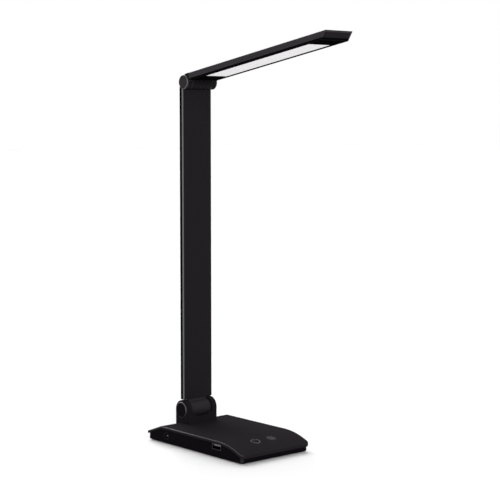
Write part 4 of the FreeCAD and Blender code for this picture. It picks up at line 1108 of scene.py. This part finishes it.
@dataclass(frozen=True)
class StudioLight:
    """A soft light that faces a target; its breadth is in metres, or in degrees for a sun."""

    name: str
    kind: LightKind
    place: Point
    breadth: float
    strength: float
    target: Point = (0.0, 0.0, 0.0)

    def hang(self, scene: bpy.types.Scene) -> None:
        """Add the light to a scene."""
        light = bpy.data.lights.new(self.name, self.kind.name)
        light.energy = self.strength
        if self.kind is LightKind.SUN:
            light.angle = math.radians(self.breadth)
        else:
            light.size = self.breadth
        obj = bpy.data.objects.new(self.name, light)
        obj.location = self.place
        aim = Vector(self.target) - Vector(self.place)
        obj.rotation_euler = aim.to_track_quat("-Z", "Y").to_euler()
        scene.collection.objects.link(obj)


LIGHTS = (
    StudioLight(
        "front_softbox", LightKind.AREA, place=(-0.5, -0.95, 0.6), breadth=0.3, strength=2.0,
        target=(0.0, 0.0, 0.18),
    ),
    StudioLight(
        "rear_skylight", LightKind.SUN, place=(0.3, 0.9, 0.8), breadth=52.0, strength=2.75,
    ),
    StudioLight(
        "front_skylight", LightKind.SUN, place=(-0.5, -0.9, 0.3), breadth=40.0, strength=0.6,
    ),
)


@dataclass
class Studio:
    """Pale floor, soft light, a white surround and the camera; lengths here are in metres."""

    floor_half: float = 14.0
    floor_drop: float = 0.0001
    floor_colour: Colour = (0.98, 0.98, 0.98)
    bounce_colour: Colour = (0.5, 0.5, 0.5)
    floor_lift: float = 0.02
    ambient: float = 0.42
    white: tuple[float, float, float, float] = (1.0, 1.0, 1.0, 1.0)
    eye: Point = (-0.90227, -1.0770, 0.32441)
    look: Point = (0.65211, 0.75288, -0.08903)
    lens: float = 101.34
    sensor: float = 36.0
    view_end: float = 100.0

    def build(self) -> None:
        """Set the stage."""
        scene = bpy.context.scene
        scene.view_settings.view_transform = "Standard"
        self.surround(scene)
        self.floor(scene)
        for light in LIGHTS:
            light.hang(scene)
        self.camera(scene)

    def surround(self, scene: bpy.types.Scene) -> None:
        """White where it is seen or mirrored, and dimmer as a light."""
        scene.world = bpy.data.worlds.new("studio_surround")
        scene.world.use_nodes = True
        graph = Graph(scene.world.node_tree)
        level = self.ambient + graph.any_seen_ray() * (1 - self.ambient)
        sky = graph.out("ShaderNodeBackground", {}, {"Color": self.white, "Strength": level})
        graph.node("ShaderNodeOutputWorld", {}, {"Surface": sky})

    def floor(self, scene: bpy.types.Scene) -> None:
        """Plain pale floor that keeps the lamp's shadow and meets the white surround."""
        mesh = bmesh.new()
        reach = self.floor_half
        corners = [(-reach, -reach), (reach, -reach), (reach, reach), (-reach, reach)]
        mesh.faces.new([mesh.verts.new((x, y, -self.floor_drop)) for x, y in corners])
        data = bpy.data.meshes.new("studio_floor")
        mesh.to_mesh(data)
        mesh.free()
        shader = Shader("studio_floor_paint")
        seen = shader.any_seen_ray()
        colour = shader.blend(seen, self.bounce_colour, self.floor_colour)
        matte = shader.out("ShaderNodeBsdfDiffuse", {}, {"Color": colour})
        lift = seen * self.floor_lift
        glow = shader.out("ShaderNodeEmission", {}, {"Color": self.white, "Strength": lift})
        both = shader.out("ShaderNodeAddShader", {}, {0: matte, 1: glow})
        shader.node("ShaderNodeOutputMaterial", {}, {"Surface": both})
        data.materials.append(shader.material)
        obj = bpy.data.objects.new("studio_floor", data)
        scene.collection.objects.link(obj)

    def camera(self, scene: bpy.types.Scene) -> None:
        """Look from the photograph's viewpoint."""
        data = bpy.data.cameras.new("studio_camera")
        data.lens = self.lens
        data.sensor_width = self.sensor
        data.clip_end = self.view_end
        obj = bpy.data.objects.new("studio_camera", data)
        obj.location = self.eye
        obj.rotation_euler = Vector(self.look).to_track_quat("-Z", "Y").to_euler()
        scene.collection.objects.link(obj)
        scene.camera = obj


def main() -> None:
    """Build the stage and every sub-assembly, in order."""
    logging.basicConfig(level=logging.INFO, format="%(name)s: %(message)s")
    bench = Bench()
    Studio().build()
    for part in (Base(bench), Post(bench), Head(bench)):
        part.build()


if __name__ == "__main__":
    main()
